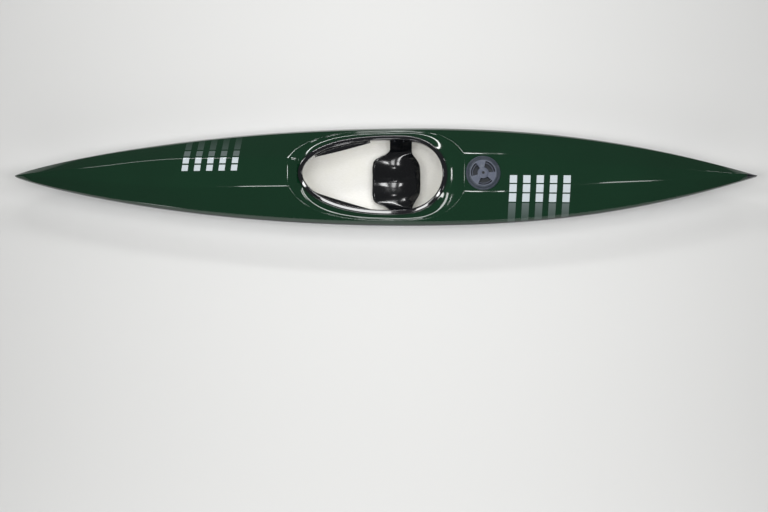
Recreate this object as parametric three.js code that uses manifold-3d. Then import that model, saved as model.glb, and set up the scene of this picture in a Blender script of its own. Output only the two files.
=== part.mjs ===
// Touring kayak: a laminated hull and deck joined along a dark seam band, with its coaming, seat,
// foot braces, screw-in stern hatch and skeg.
// Millimetres. +X runs from bow to stern, +Y to starboard, +Z up. The origin is on the ground,
// under the middle of the boat, where the flat of the keel rests.

import * as THREE from 'three';
import { mergeVertices } from 'three/addons/utils/BufferGeometryUtils.js';
import Module from 'manifold-3d';

const wasm = await Module();
wasm.setup();

// The boat as a whole
const boatLength = 4500;
const boatBeam = 604;
const beamStationShare = 0.53;
const bowPlanPowers = [2, 0.85];
const sternPlanPowers = [2.3, 1.02];
const noseHalf = 2;
const noseLength = 6;
const skin = 4;
const gap = 0.3;
const overrun = 30;

// Heights above the ground
const stemHeight = 174;
const seamEdgeHeight = 143;
const deckHeight = 320;

// Seam band
const bandHeight = 45;
const bandTipHeight = 27;
const bandThickness = 1.5;
const bandBulge = 4;
const coreLap = 1;
const bowCapLength = 28;
const sternCapLength = 64;

// Hull and deck form
const keelFlatHalf = 60;
const tipSectionPower = 1.4;
const middleSectionPower = 2.3;
const plateauHalf = 115;
const plateauCrown = 2;
const creaseInShare = 0.0433;
const creaseRiseShare = 0.19;
const shoulderShare = 0.46;
const shoulderBulgeShare = 0.03;
const cavityBowSetback = 90;
const cavitySternSetback = 110;

// Cockpit coaming
const coamingFront = -531;
const coamingRear = 369;
const coamingWidestStation = 60;
const coamingWidth = 490;
const coamingPower = 2.4;
const rimLowStation = -20;
const rimLowShare = 0.4091;
const rimFrontShare = 0.8864;
const rimRearShare = 0.7576;
const rimRiser = 20;
const lipThickness = 4;
const lipRound = 2;
const webInset = 24;
const webThickness = 4;
const webDepth = 42;
const flangeInset = 8;
const flangeThickness = 3.5;

// Cockpit recess
const recessFront = -588;
const recessRear = 470;
const recessWidestStation = 40;
const recessFrontRun = 655;
const recessRearRun = 455;
const recessWidth = 558;
const recessFrontPower = 2.74;
const recessRearPower = 3.2;
const recessFrontDrop = 28;
const recessSideDrop = 6;
const recessRearDrop = 24;
const recessFrontSlope = 22;
const recessSideSlope = 8;
const recessRearSlope = 55;
const recessLap = 4;
const recessLapInset = 1;

// Thigh braces
const braceFront = -430;
const braceRear = -95;
const braceFlange = 24;
const braceThickness = 4;
const braceDropShare = 0.35;
const braceFrontHalf = 108;
const braceRearHalf = 205;
const braceLeastReach = 4;

// Seat
const seatFront = -83;
const seatRear = 207;
const seatThickness = 4;
const seatPanHalf = 185;
const seatLow = 42;
const seatRearRise = 62;
const seatFrontRise = 14;
const seatPommel = 9;
const seatPommelHalf = 34;
const seatHollowStation = 45;
const seatEarFront = 24;
const seatEarRear = 158;
const seatEarTopDrop = 12;
const seatRearPower = 2.4;
const seatBoltStation = 79;
const seatBoltSpacing = 54;
const seatBoltDrop = 33;
const seatBoltRadius = 2.5;
const seatBoltHeadRadius = 5.5;
const seatBoltHeadThickness = 3;
const seatBoltTail = 7;
const seatNutRadius = 4.6;
const seatNutThickness = 4;

// Stern hatch
const hatchStation = 585;
const hatchOuterRadius = 106;
const hatchRebate = 2;
const hatchBoreRadius = 78;
const hatchNeckWall = 4;
const hatchNeckDepth = 24;
const hatchFlange = 7;
const hatchStepRadius = 92;
const hatchStepHeight = 2.5;
const hatchBevel = 4;
const gasketRadius = 85;
const gasketThickness = 2.4;
const lidDiscThickness = 4.5;
const lidPlugDepth = 16;
const lidPocketInner = 33;
const lidPocketOuter = 74;
const lidPocketHalfAngle = 36 * Math.PI / 180;
const lidPocketFirstAngle = 42 * Math.PI / 180;
const lidPocketCount = 3;
const lidPocketFloor = 4;
const lidGripRadius = 62;
const lidGripThickness = 3.5;
const lidGripHeight = 13;
const lidHubRadius = 29;
const lidHubHeight = 3;
const hubScrewRadius = 8;
const hubScrewDepth = 14;
const hubScrewSink = 2;
const hatchScrewCount = 6;
const hatchScrewRadius = 2;
const hatchScrewHeadRadius = 4;
const hatchScrewHeadDepth = 2.5;
const hatchScrewLength = 18;
const hatchScrewCircle = 99.5;

// Foot braces
const footBraceStation = -934;
const footBoltSpacing = 380;
const footBoltHeight = 132;
const footBoltRadius = 3;
const footBoltHeadRadius = 6;
const footBoltHeadThickness = 3;
const footBoltBite = 14;
const railLength = 430;
const railHeight = 28;
const railThickness = 10;
const railStandoff = 14;
const railBossRadius = 8;
const railToothPitch = 20;
const railToothDepth = 3;
const clipLength = 46;
const clipWall = 5;
const clipHook = 4;
const clipHookThickness = 4;
const pedalReach = 84;
const pedalHeight = 92;
const pedalThickness = 12;
const pedalCorner = 14;
const pedalLift = -4;
const pedalRibCount = 4;
const pedalRibHeight = 3;
const pedalRibWidth = 5;

// Skeg
const skegSetback = 358;
const skegLength = 528;
const skegBottom = 24.5;
const skegCurveLength = 202;
const skegTailHeight = 67;
const skegRootHalf = 6;
const skegEdgeHalf = 3;

// Pieces inside the ends
const bulkheadStation = 480;
const bulkheadThickness = 8;
const foamSetback = 190;
const foamLength = 420;

// Finishes, as colour, roughness and metalness
const finishes = {
  hull: [0xe9edf2, 0.18, 0],
  deck: [0x163824, 0.1, 0],
  band: [0x0b0d16, 0.12, 0],
  coaming: [0x0c0d10, 0.12, 0],
  seat: [0x08090b, 0.1, 0],
  hatch: [0x4b5161, 0.5, 0],
  gasket: [0x1a1a1a, 0.9, 0],
  steel: [0xb4b8bc, 0.3, 1],
  foam: [0xd8d2c0, 0.95, 0],
  laminate: [0xd9d6c8, 0.7, 0],
  plastic: [0x1c1d20, 0.55, 0],
};

// How finely the curved pieces are divided
const stationCount = 36;
const hullPointCount = 6;
const ringSteps = 48;
const hatchSegments = 32;
const boltSegments = 8;
const nutSides = 6;
const seatColumns = 8;
const pocketArcSteps = 7;
const pedalCornerSteps = 4;

// Shares along the half length, from -1 at the bow to 1 at the stern, with the share of a size. The
// deck's are shares of the height from the tip's band up to the highest point.
const keelShares = [
  [-1, 1], [-0.987, 0.82], [-0.967, 0.65], [-0.942, 0.517], [-0.907, 0.408], [-0.839, 0.31],
  [-0.737, 0.247], [-0.609, 0.17], [-0.48, 0.092], [-0.351, 0.036], [-0.222, 0], [0.12, 0],
  [0.247, 0.05], [0.418, 0.115], [0.606, 0.195], [0.84, 0.42], [0.921, 0.552], [0.951, 0.626],
  [0.974, 0.724], [0.991, 0.856], [1, 1],
];
const seamRiseShares = [
  [-1, 1], [-0.867, 0.774], [-0.737, 0.53], [-0.609, 0.24], [-0.351, 0.065], [0, 0],
  [0.162, 0.14], [0.591, 0.25], [0.719, 0.46], [0.847, 0.7], [1, 1.08],
];
const bandTaperShares = [[-1, 1], [-0.9, 0.8], [-0.5, 0.25], [0, 0], [0.5, 0.2], [0.9, 0.8], [1, 1]];
const deckShares = [
  [-1, 0.072], [-0.978, 0.236], [-0.839, 0.484], [-0.737, 0.556], [-0.582, 0.704], [-0.437, 0.831],
  [-0.276, 0.979], [-0.258, 1], [0, 0.925], [0.218, 0.79], [0.311, 0.696], [0.508, 0.626],
  [0.609, 0.575], [0.746, 0.462], [0.838, 0.379], [0.929, 0.312], [0.988, 0.217], [1, 0.14],
];
const plateauShares = [
  [-1, 0], [-0.821, 0.3], [-0.544, 0.765], [-0.264, 0.76], [0, 0.88], [0.21, 1], [0.311, 0.97],
  [0.367, 0.84], [0.567, 0.5], [0.749, 0.32], [1, 0],
];

// Half of the seat's spine, as shares of the pan's half width and of the rise up to the ear, and the
// widths between which the ear draws its front and rear edges in
const seatSpineShares = [
  [0, 0.02], [0.2, 0.008], [0.48, 0], [0.72, 0.03], [0.9, 0.11], [0.99, 0.24], [1.04, 0.4],
  [1.07, 0.56], [1.1, 0.72],
];
const seatEarShares = [0.62, 1.02];
const seatSweepShares = [0.35, 1.02];

const halfLength = boatLength / 2;
const bowTip = -halfLength;
const sternTip = halfLength;
const beamStation = bowTip + boatLength * beamStationShare;
const bowCapStation = bowTip + bowCapLength;
const sternCapStation = sternTip - sternCapLength;
const skegRear = sternTip - skegSetback;
const skegFront = skegRear - skegLength;
const skegCurveStart = skegRear - skegCurveLength;
const foamFront = bowTip + foamSetback;
const foamRear = foamFront + foamLength;
const tipTopHeight = stemHeight + bandTipHeight;
const middleTopHeight = seamEdgeHeight + bandHeight;

// Smooth curve through a table of shares that never overshoots between its points
function curveThrough(table, heightScale) {
  const slopes = table.map((point, i) => {
    if (i === 0 || i === table.length - 1) {
      return 0;
    }
    const before = (point[1] - table[i - 1][1]) / (point[0] - table[i - 1][0]);
    const after = (table[i + 1][1] - point[1]) / (table[i + 1][0] - point[0]);
    return before * after <= 0 ? 0 : 2 * before * after / (before + after);
  });
  const last = table.length - 1;
  slopes[0] = (table[1][1] - table[0][1]) / (table[1][0] - table[0][0]);
  slopes[last] = (table[last][1] - table[last - 1][1]) / (table[last][0] - table[last - 1][0]);
  return (x) => {
    const share = Math.min(Math.max(x / halfLength, -1), 1);
    let i = 0;
    while (i < last - 1 && share > table[i + 1][0]) {
      i += 1;
    }
    const run = table[i + 1][0] - table[i][0];
    const t = (share - table[i][0]) / run;
    const rise = table[i + 1][1] - table[i][1];
    const cubic = slopes[i] * run + slopes[i + 1] * run - 2 * rise;
    const square = 3 * rise - 2 * slopes[i] * run - slopes[i + 1] * run;
    return heightScale * (table[i][1] + t * (slopes[i] * run + t * (square + t * cubic)));
  };
}

const keelZ = curveThrough(keelShares, stemHeight);
const seamRise = curveThrough(seamRiseShares, stemHeight - seamEdgeHeight);
const bandLoss = curveThrough(bandTaperShares, bandHeight - bandTipHeight);
const deckRise = curveThrough(deckShares, deckHeight - tipTopHeight);
const deckZ = (x) => tipTopHeight + deckRise(x);
const plateauY = curveThrough(plateauShares, plateauHalf);
const bandBottomZ = (x) => seamEdgeHeight + seamRise(x);
const bandTopZ = (x) => bandBottomZ(x) + bandHeight - bandLoss(x);
const seamZ = (x) => (bandBottomZ(x) + bandTopZ(x)) / 2;

// Half breadth of the boat at the middle of the band
function halfBreadth(x) {
  const forward = x < beamStation;
  const run = forward ? beamStation - bowTip : sternTip - beamStation;
  const t = Math.min(Math.abs(x - beamStation) / run, 1);
  const [inner, outer] = forward ? bowPlanPowers : sternPlanPowers;
  return noseHalf + (boatBeam / 2 - noseHalf) * (1 - t ** inner) ** outer;
}

const breadthShare = (x) => halfBreadth(x) / (boatBeam / 2);
const bandEdgeHalf = (x) => halfBreadth(x) - bandBulge * breadthShare(x);

// Half width of the keel's flat and the power of the curve from it up to the band
function hullSection(x) {
  const share = breadthShare(x);
  const flat = Math.min(keelFlatHalf * share ** 2, bandEdgeHalf(x) / 2);
  return { flat, power: 2 / (tipSectionPower + (middleSectionPower - tipSectionPower) * share) };
}

// Outer half profile of the hull, from the keel flat out to the lower edge of the band
function hullProfile(x) {
  const top = bandBottomZ(x);
  const bottom = Math.min(keelZ(x), top - noseHalf);
  const edge = bandEdgeHalf(x);
  const { flat, power } = hullSection(x);
  const points = [];
  for (let k = 0; k <= hullPointCount; k += 1) {
    const angle = k / hullPointCount * Math.PI / 2;
    const out = Math.sin(angle) ** power;
    const down = k === hullPointCount ? 0 : Math.cos(angle) ** power;
    points.push([flat + (edge - flat) * out, top - (top - bottom) * down]);
  }
  return points;
}

// Half width of the hull's outer face at a height
function hullHalfAt(x, z) {
  const top = bandBottomZ(x);
  const edge = bandEdgeHalf(x);
  const { flat, power } = hullSection(x);
  const cosine = ((top - z) / (top - keelZ(x))) ** (1 / power);
  return flat + (edge - flat) * Math.sqrt(1 - cosine ** 2) ** power;
}

// Outer half profile of the deck, from the upper edge of the band in to the centre line
function deckProfile(x) {
  const bottom = bandTopZ(x);
  const rise = deckZ(x) - bottom;
  const edge = bandEdgeHalf(x);
  const crease = edge * (1 - creaseInShare);
  const ridge = Math.min(plateauY(x), crease / 2);
  const ridgeZ = deckZ(x) - plateauCrown * breadthShare(x);
  const creaseZ = bottom + rise * creaseRiseShare;
  const shoulder = crease + (ridge - crease) * shoulderShare;
  const shoulderZ = creaseZ + (ridgeZ - creaseZ) * shoulderShare + rise * shoulderBulgeShare;
  return [[edge, bottom], [crease, creaseZ], [shoulder, shoulderZ], [ridge, ridgeZ], [0, deckZ(x)]];
}

// Height of the unbroken deck over a place in plan
function deckHeightAt(x, y) {
  const profile = deckProfile(x);
  const reach = Math.abs(y);
  for (let i = 0; i < profile.length - 1; i += 1) {
    const [outer, outerZ] = profile[i];
    const [inner, innerZ] = profile[i + 1];
    if (reach >= inner && reach <= outer) {
      return outerZ + (innerZ - outerZ) * (outer - reach) / Math.max(outer - inner, gap);
    }
  }
  return profile[0][1];
}

// Moves a half profile towards the inside of the boat by a distance
function insetProfile(profile, distance, inside) {
  return profile.map(([y, z], i) => {
    const before = profile[Math.max(i - 1, 0)];
    const after = profile[Math.min(i + 1, profile.length - 1)];
    const along = new THREE.Vector2(after[0] - before[0], after[1] - before[1]).normalize();
    const normal = new THREE.Vector2(along.y, -along.x);
    if (normal.y * inside < 0 || (normal.y === 0 && normal.x > 0)) {
      normal.negate();
    }
    if (profile[i][0] === bandEdgeOf(profile)) {
      normal.set(-1, 0);
    }
    const atCentre = y === 0;
    const innerY = atCentre ? 0 : Math.max(y + normal.x * distance, gap);
    return [innerY, z + (atCentre ? inside : normal.y) * distance];
  });
}

function bandEdgeOf(profile) {
  return Math.max(profile[0][0], profile[profile.length - 1][0]);
}

// Stations along the boat, closer together towards the tips
function makeStations() {
  const end = halfLength - noseLength;
  const list = [bowTip, sternTip, bowCapStation, sternCapStation, skegFront, skegRear];
  list.push(bowTip + cavityBowSetback, sternTip - cavitySternSetback);
  for (let i = 0; i <= stationCount; i += 1) {
    const even = 2 * i / stationCount - 1;
    const crowded = -Math.cos(Math.PI * i / stationCount);
    const x = end * (even + crowded) / 2;
    const near = list.some((other) => Math.abs(other - x) < noseLength * 2 && other !== x);
    if (!near || Math.abs(x) === end) {
      list.push(x);
    }
  }
  return list.sort((a, b) => a - b);
}

const stations = makeStations();

function stationsBetween(from, to) {
  const inner = stations.filter((x) => x > from + noseHalf && x < to - noseHalf);
  return [from, ...inner, to];
}

// Closed body from indexed points, turned so that its faces point out
function bodyFrom(points, faces) {
  let volume = 0;
  for (const [a, b, c] of faces) {
    volume += points[a].dot(new THREE.Vector3().crossVectors(points[b], points[c]));
  }
  const turned = volume < 0 ? faces.map(([a, b, c]) => [a, c, b]) : faces;
  const geometry = new THREE.BufferGeometry();
  const flatPoints = points.flatMap((p) => [p.x, p.y, p.z]);
  geometry.setAttribute('position', new THREE.Float32BufferAttribute(flatPoints, 3));
  geometry.setIndex(turned.flat());
  return geometry;
}

// Triangles that close a flat loop of points
function capFaces(loop) {
  const normal = new THREE.Vector3();
  loop.forEach((point, i) => {
    normal.add(new THREE.Vector3().crossVectors(point, loop[(i + 1) % loop.length]));
  });
  const size = [Math.abs(normal.x), Math.abs(normal.y), Math.abs(normal.z)];
  const dropped = size.indexOf(Math.max(...size));
  const [u, v] = [0, 1, 2].filter((axis) => axis !== dropped);
  const contour = loop.map((p) => new THREE.Vector2(p.getComponent(u), p.getComponent(v)));
  const clockwise = THREE.ShapeUtils.isClockWise(contour);
  const ordered = clockwise ? contour.slice().reverse() : contour;
  const indexOf = (i) => (clockwise ? loop.length - 1 - i : i);
  const triangles = THREE.ShapeUtils.triangulateShape(ordered, []);
  const faces = triangles.map((face) => face.map(indexOf));
  return clockwise ? faces.map(([a, b, c]) => [a, c, b]) : faces;
}

// Skin through a row of loops, either round to the first loop again or closed at both ends
function loft(loops, round = false) {
  const count = loops[0].length;
  const points = loops.flat();
  const faces = [];
  const rows = round ? loops.length : loops.length - 1;
  for (let i = 0; i < rows; i += 1) {
    const here = i * count;
    const there = ((i + 1) % loops.length) * count;
    for (let j = 0; j < count; j += 1) {
      const next = (j + 1) % count;
      faces.push([here + j, here + next, there + next], [here + j, there + next, there + j]);
    }
  }
  if (!round) {
    const lastRow = (loops.length - 1) * count;
    capFaces(loops[0]).forEach(([a, b, c]) => faces.push([a, c, b]));
    capFaces(loops[loops.length - 1]).forEach((face) => faces.push(face.map((i) => lastRow + i)));
    alignCaps(points, faces, rows * count * 2);
  }
  return bodyFrom(points, faces);
}

// Turns cap triangles so that they run against the side triangles that they meet
function alignCaps(points, faces, sideCount) {
  const edges = new Set();
  for (const [a, b, c] of faces.slice(0, sideCount)) {
    edges.add(`${a} ${b}`);
    edges.add(`${b} ${c}`);
    edges.add(`${c} ${a}`);
  }
  const capTriangles = faces.slice(sideCount);
  const half = capTriangles.length / 2;
  [capTriangles.slice(0, half), capTriangles.slice(half)].forEach((cap, end) => {
    const clash = cap.some(([a, b, c]) => [`${a} ${b}`, `${b} ${c}`, `${c} ${a}`]
      .some((edge) => edges.has(edge)));
    if (clash) {
      cap.forEach(([a, b, c], i) => {
        faces[sideCount + end * half + i] = [a, c, b];
      });
    }
  });
}

// Sheet of even thickness over a grid of points, thickened along its own normals
function thickSheet(grid, thickness) {
  const rows = grid.length;
  const columns = grid[0].length;
  const points = grid.flat();
  for (let i = 0; i < rows; i += 1) {
    for (let j = 0; j < columns; j += 1) {
      const down = grid[Math.min(i + 1, rows - 1)][j].clone().sub(grid[Math.max(i - 1, 0)][j]);
      const across = grid[i][Math.min(j + 1, columns - 1)].clone().sub(grid[i][Math.max(j - 1, 0)]);
      const normal = across.cross(down).normalize();
      points.push(grid[i][j].clone().addScaledVector(normal, thickness));
    }
  }
  const faces = [];
  const total = rows * columns;
  const at = (i, j) => i * columns + j;
  const addQuad = (a, b, c, d) => faces.push([a, b, c], [a, c, d]);
  for (let i = 0; i < rows - 1; i += 1) {
    for (let j = 0; j < columns - 1; j += 1) {
      addQuad(at(i, j), at(i + 1, j), at(i + 1, j + 1), at(i, j + 1));
      const [a, b, c, d] = [at(i, j), at(i, j + 1), at(i + 1, j + 1), at(i + 1, j)];
      faces.push([total + a, total + c, total + d], [total + a, total + b, total + c]);
    }
  }
  const rim = [];
  for (let j = 0; j < columns - 1; j += 1) {
    rim.push([at(0, j + 1), at(0, j)], [at(rows - 1, j), at(rows - 1, j + 1)]);
  }
  for (let i = 0; i < rows - 1; i += 1) {
    rim.push([at(i, 0), at(i + 1, 0)], [at(i + 1, columns - 1), at(i, columns - 1)]);
  }
  for (const [a, b] of rim) {
    addQuad(b, a, total + a, total + b);
  }
  return bodyFrom(points, faces);
}

// Exact joins and cuts
function solidOf(geometry) {
  const bare = geometry.clone();
  bare.deleteAttribute('normal');
  bare.deleteAttribute('uv');
  const merged = mergeVertices(bare);
  return new wasm.Manifold(new wasm.Mesh({
    numProp: 3,
    vertProperties: new Float32Array(merged.attributes.position.array),
    triVerts: new Uint32Array(merged.index.array),
  }));
}

function geometryOf(solid) {
  const mesh = solid.getMesh();
  const geometry = new THREE.BufferGeometry();
  geometry.setAttribute('position', new THREE.BufferAttribute(mesh.vertProperties, 3));
  geometry.setIndex(new THREE.BufferAttribute(mesh.triVerts, 1));
  return geometry;
}

// Full loop across the boat from a half profile and its mirror image
function mirroredLoop(x, halfProfile) {
  const starboard = halfProfile.map(([y, z]) => new THREE.Vector3(x, y, z));
  const port = halfProfile.filter(([y]) => y > 0).map(([y, z]) => new THREE.Vector3(x, -y, z));
  return [...starboard, ...port.reverse()];
}

function loftAlong(from, to, halfProfileAt) {
  return loft(stationsBetween(from, to).map((x) => mirroredLoop(x, halfProfileAt(x))));
}

// Rectangular core under the band, between two heights
const coreProfile = (lowAt, highAt) => (x) => {
  const half = bandEdgeHalf(x) - bandThickness - gap;
  return [[half, lowAt(x)], [half, highAt(x)]];
};

const cavityBow = bowTip + cavityBowSetback;
const cavityStern = sternTip - cavitySternSetback;

// Inner half profiles, at a distance in from the outer faces
const hullInside = (distance) => (x) => {
  const inner = insetProfile(hullProfile(x), distance, 1);
  const edge = inner[inner.length - 1];
  return [...inner, [edge[0], bandTopZ(x)]];
};
const deckInside = (distance) => (x) => {
  const inner = insetProfile(deckProfile(x), distance, -1);
  return [[inner[0][0], bandBottomZ(x)], ...inner];
};
const boatInside = (distance) => (x) => {
  const lower = insetProfile(hullProfile(x), distance, 1);
  const upper = insetProfile(deckProfile(x), distance, -1);
  return [...lower, ...upper];
};

const tipEnd = halfLength - noseLength;

function makeHull() {
  const outer = solidOf(loftAlong(-tipEnd, tipEnd, hullProfile));
  const core = solidOf(loftAlong(
    bowCapStation + gap,
    sternCapStation - gap,
    coreProfile((x) => bandBottomZ(x) - coreLap, (x) => seamZ(x) - gap / 2),
  ));
  const cavity = solidOf(loftAlong(cavityBow, cavityStern, hullInside(skin)));
  return outer.add(core).subtract(cavity);
}

// Base curve of the coaming: its outer edge in plan, at an angle round the opening
function coamingEdge(angle) {
  const c = Math.cos(angle);
  const run = c < 0 ? coamingWidestStation - coamingFront : coamingRear - coamingWidestStation;
  const x = coamingWidestStation + Math.sign(c) * run * Math.abs(c) ** (2 / coamingPower);
  return new THREE.Vector2(x, coamingWidth / 2 * Math.sin(angle));
}

// Place in plan a distance inward from the coaming's outer edge
function coamingPlace(angle, inward) {
  const step = Math.PI / ringSteps / 8;
  const along = coamingEdge(angle + step).sub(coamingEdge(angle - step)).normalize();
  const normal = new THREE.Vector2(-along.y, along.x);
  return coamingEdge(angle).addScaledVector(normal, inward);
}

// Height at a share of the way from the band's top to the deck's highest point
const heightAtShare = (share) => middleTopHeight + share * (deckHeight - middleTopHeight);
const rimLowHeight = heightAtShare(rimLowShare);

function rimZ(x) {
  const [end, share] = x < rimLowStation ? [coamingFront, rimFrontShare] : [coamingRear, rimRearShare];
  const away = (x - rimLowStation) / (end - rimLowStation);
  return rimLowHeight + (heightAtShare(share) - rimLowHeight) * away ** 2;
}

// Point on a section across the coaming: inward from its edge and up from the rim
function coamingPoint(angle, inward, up) {
  const place = coamingPlace(angle, inward);
  return new THREE.Vector3(place.x, place.y, rimZ(coamingEdge(angle).x) + up);
}

const ringAngles = Array.from({ length: ringSteps }, (_, i) => (i + 0.5) * 2 * Math.PI / ringSteps);
const webInner = webInset + webThickness;

// Where the starboard facets of an inner offset of the coaming pass a station: half width and rim
function coamingFacet(x, inward) {
  const places = ringAngles.slice(0, ringSteps / 2).map((angle) => coamingPlace(angle, inward));
  let i = 0;
  while (i < places.length - 2 && places[i + 1].x > x) {
    i += 1;
  }
  const share = (x - places[i].x) / (places[i + 1].x - places[i].x);
  const rims = [rimZ(coamingEdge(ringAngles[i]).x), rimZ(coamingEdge(ringAngles[i + 1]).x)];
  return {
    half: places[i].y + (places[i + 1].y - places[i].y) * share,
    rim: rims[0] + (rims[1] - rims[0]) * share,
    corners: places.map((place) => place.x),
  };
}

function makeCoaming() {
  const section = [
    [0, -lipRound], [lipRound, 0], [webInner - lipRound, 0], [webInner, -lipRound],
    [webInner, -webDepth], [webInset, -webDepth], [webInset, gap - rimRiser],
    [flangeInset, gap - rimRiser], [flangeInset, gap - rimRiser + flangeThickness],
    [webInset, gap - rimRiser + flangeThickness], [webInset, -lipThickness], [0, -lipThickness],
  ];
  const loops = ringAngles.map((a) => section.map(([inward, up]) => coamingPoint(a, inward, up)));
  return solidOf(loft(loops, true));
}

// Outline of the recess, with straight ends fore and aft
function recessEdge(angle) {
  const c = Math.cos(angle);
  const run = c < 0 ? recessFrontRun : recessRearRun;
  const power = c < 0 ? recessFrontPower : recessRearPower;
  const x = recessWidestStation + Math.sign(c) * run * Math.abs(c) ** (2 / power);
  const clipped = Math.min(Math.max(x, recessFront), recessRear);
  return new THREE.Vector2(clipped, recessWidth / 2 * Math.sin(angle));
}

function recessBlend(angle, front, side, rear) {
  const c = Math.cos(angle);
  return side + ((c < 0 ? front : rear) - side) * c ** 4;
}

// Sunk tray between the deck and the cockpit opening
function makeTray() {
  const loops = ringAngles.map((angle) => {
    const edge = recessEdge(angle);
    const inner = coamingEdge(angle);
    const inward = inner.clone().sub(edge).normalize();
    const slope = recessBlend(angle, recessFrontSlope, recessSideSlope, recessRearSlope);
    const drop = recessBlend(angle, recessFrontDrop, recessSideDrop, recessRearDrop);
    const foot = edge.clone().addScaledVector(inward, slope);
    const lap = edge.clone().addScaledVector(inward, -recessLap);
    const edgeZ = deckHeightAt(edge.x, edge.y);
    const lapZ = deckHeightAt(lap.x, lap.y);
    const top = [
      coamingPoint(angle, webInset - gap, -rimRiser),
      coamingPoint(angle, 0, -rimRiser),
      new THREE.Vector3(foot.x, foot.y, edgeZ - drop),
      new THREE.Vector3(edge.x, edge.y, edgeZ),
      new THREE.Vector3(lap.x, lap.y, lapZ - recessLapInset),
    ];
    const under = top.map((p) => new THREE.Vector3(p.x, p.y, p.z - skin));
    under[4].z = lapZ - skin + recessLapInset;
    return [...top, ...under.reverse()];
  });
  return solidOf(loft(loops, true));
}

function recessCutter() {
  const outline = new THREE.Shape(ringAngles.map(recessEdge));
  const geometry = new THREE.ExtrudeGeometry(outline, { depth: deckHeight, bevelEnabled: false });
  geometry.translate(0, 0, bandTopZ(recessWidestStation));
  return solidOf(geometry);
}

// Plane of the hatch: level across the boat, tilted with the deck along it
const hatchSlope = Math.atan2(
  deckZ(hatchStation + hatchOuterRadius) - deckZ(hatchStation - hatchOuterRadius),
  2 * hatchOuterRadius,
);
const hatchPlace = new THREE.Matrix4()
  .makeTranslation(hatchStation, 0, deckZ(hatchStation) - hatchRebate)
  .multiply(new THREE.Matrix4().makeRotationY(-hatchSlope));

// Cylinder along +Z from a low to a high level
function post(radius, low, high, segments) {
  const geometry = new THREE.CylinderGeometry(radius, radius, high - low, segments);
  geometry.rotateX(Math.PI / 2);
  geometry.translate(0, 0, (low + high) / 2);
  return geometry;
}

// Ring about +Z from a closed section of radius and level pairs
function ringOf(section, segments) {
  const closed = [...section, section[0]].map(([radius, level]) => new THREE.Vector2(radius, level));
  const geometry = new THREE.LatheGeometry(closed, segments);
  geometry.rotateX(Math.PI / 2);
  return geometry;
}

function onHatch(geometry) {
  return solidOf(geometry.clone().applyMatrix4(hatchPlace));
}

const hatchScrewPlaces = Array.from({ length: hatchScrewCount }, (_, i) => {
  const angle = (i + 0.5) * 2 * Math.PI / hatchScrewCount;
  return new THREE.Vector2(hatchScrewCircle * Math.cos(angle), hatchScrewCircle * Math.sin(angle));
});

function hatchScrewHole(place, radius) {
  return onHatch(post(radius, -overrun, overrun, boltSegments).translate(place.x, place.y, 0));
}

function makeDeck() {
  const bow = -tipEnd;
  const stern = sternCapStation - gap;
  const outer = solidOf(loftAlong(bow, stern, deckProfile));
  const core = solidOf(loftAlong(
    bowCapStation + gap,
    stern,
    coreProfile((x) => seamZ(x) + gap / 2, (x) => bandTopZ(x) + coreLap),
  ));
  const cavity = solidOf(loftAlong(cavityBow, cavityStern, deckInside(skin)));
  let deck = outer.add(core).subtract(cavity).subtract(recessCutter()).add(makeTray());
  const rebate = onHatch(post(hatchOuterRadius + gap, 0, overrun, hatchSegments));
  const hole = onHatch(post(hatchBoreRadius + hatchNeckWall + gap, -overrun, overrun, hatchSegments));
  deck = deck.subtract(rebate).subtract(hole);
  for (const place of hatchScrewPlaces) {
    deck = deck.subtract(hatchScrewHole(place, hatchScrewRadius + gap));
  }
  return deck;
}

function makeBand(side) {
  const loops = stationsBetween(bowCapStation, sternCapStation).map((x) => {
    const low = bandBottomZ(x) + gap;
    const high = bandTopZ(x) - gap;
    const edge = bandEdgeHalf(x);
    const core = edge - bandThickness;
    const section = [
      [edge, low], [halfBreadth(x), (low + high) / 2], [edge, high], [core, high], [core, low],
    ];
    return section.map(([y, z]) => new THREE.Vector3(x, side * y, z));
  });
  return loft(loops);
}

function makeBowCap() {
  return loftAlong(bowTip, bowCapStation - gap, (x) => [
    [bandEdgeHalf(x), bandBottomZ(x) + gap],
    [halfBreadth(x), seamZ(x)],
    [bandEdgeHalf(x), bandTopZ(x) - gap],
  ]);
}

function makeSternCap() {
  return loftAlong(sternCapStation + gap, sternTip, (x) => [
    [bandEdgeHalf(x), bandBottomZ(x) + gap],
    [halfBreadth(x), seamZ(x)],
    ...deckProfile(x),
  ]);
}

// Half width of a thigh brace's inner edge, which runs straight from end to end
function braceHalf(x) {
  const share = (x - braceFront) / (braceRear - braceFront);
  return braceFrontHalf + (braceRearHalf - braceFrontHalf) * share;
}

function makeBrace(side) {
  const inward = webInner + gap;
  const { corners } = coamingFacet(0, inward);
  const inner = corners.filter((x) => x > braceFront + braceThickness && x < braceRear - braceThickness);
  const loops = [braceRear, ...inner, braceFront].map((x) => {
    const { half, rim } = coamingFacet(x, inward);
    const face = coamingFacet(x, inward + braceThickness).half;
    const low = rim - webDepth;
    const tip = Math.min(braceHalf(x), face - braceLeastReach);
    const tipLow = low - braceDropShare * (face - tip);
    return [
      new THREE.Vector3(x, side * half, low),
      new THREE.Vector3(x, side * half, low + braceFlange),
      new THREE.Vector3(x, side * face, low + braceFlange),
      new THREE.Vector3(x, side * face, low + braceThickness),
      new THREE.Vector3(x, side * tip, tipLow + braceThickness),
      new THREE.Vector3(x, side * tip, tipLow),
    ];
  });
  return loft(loops);
}

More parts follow.
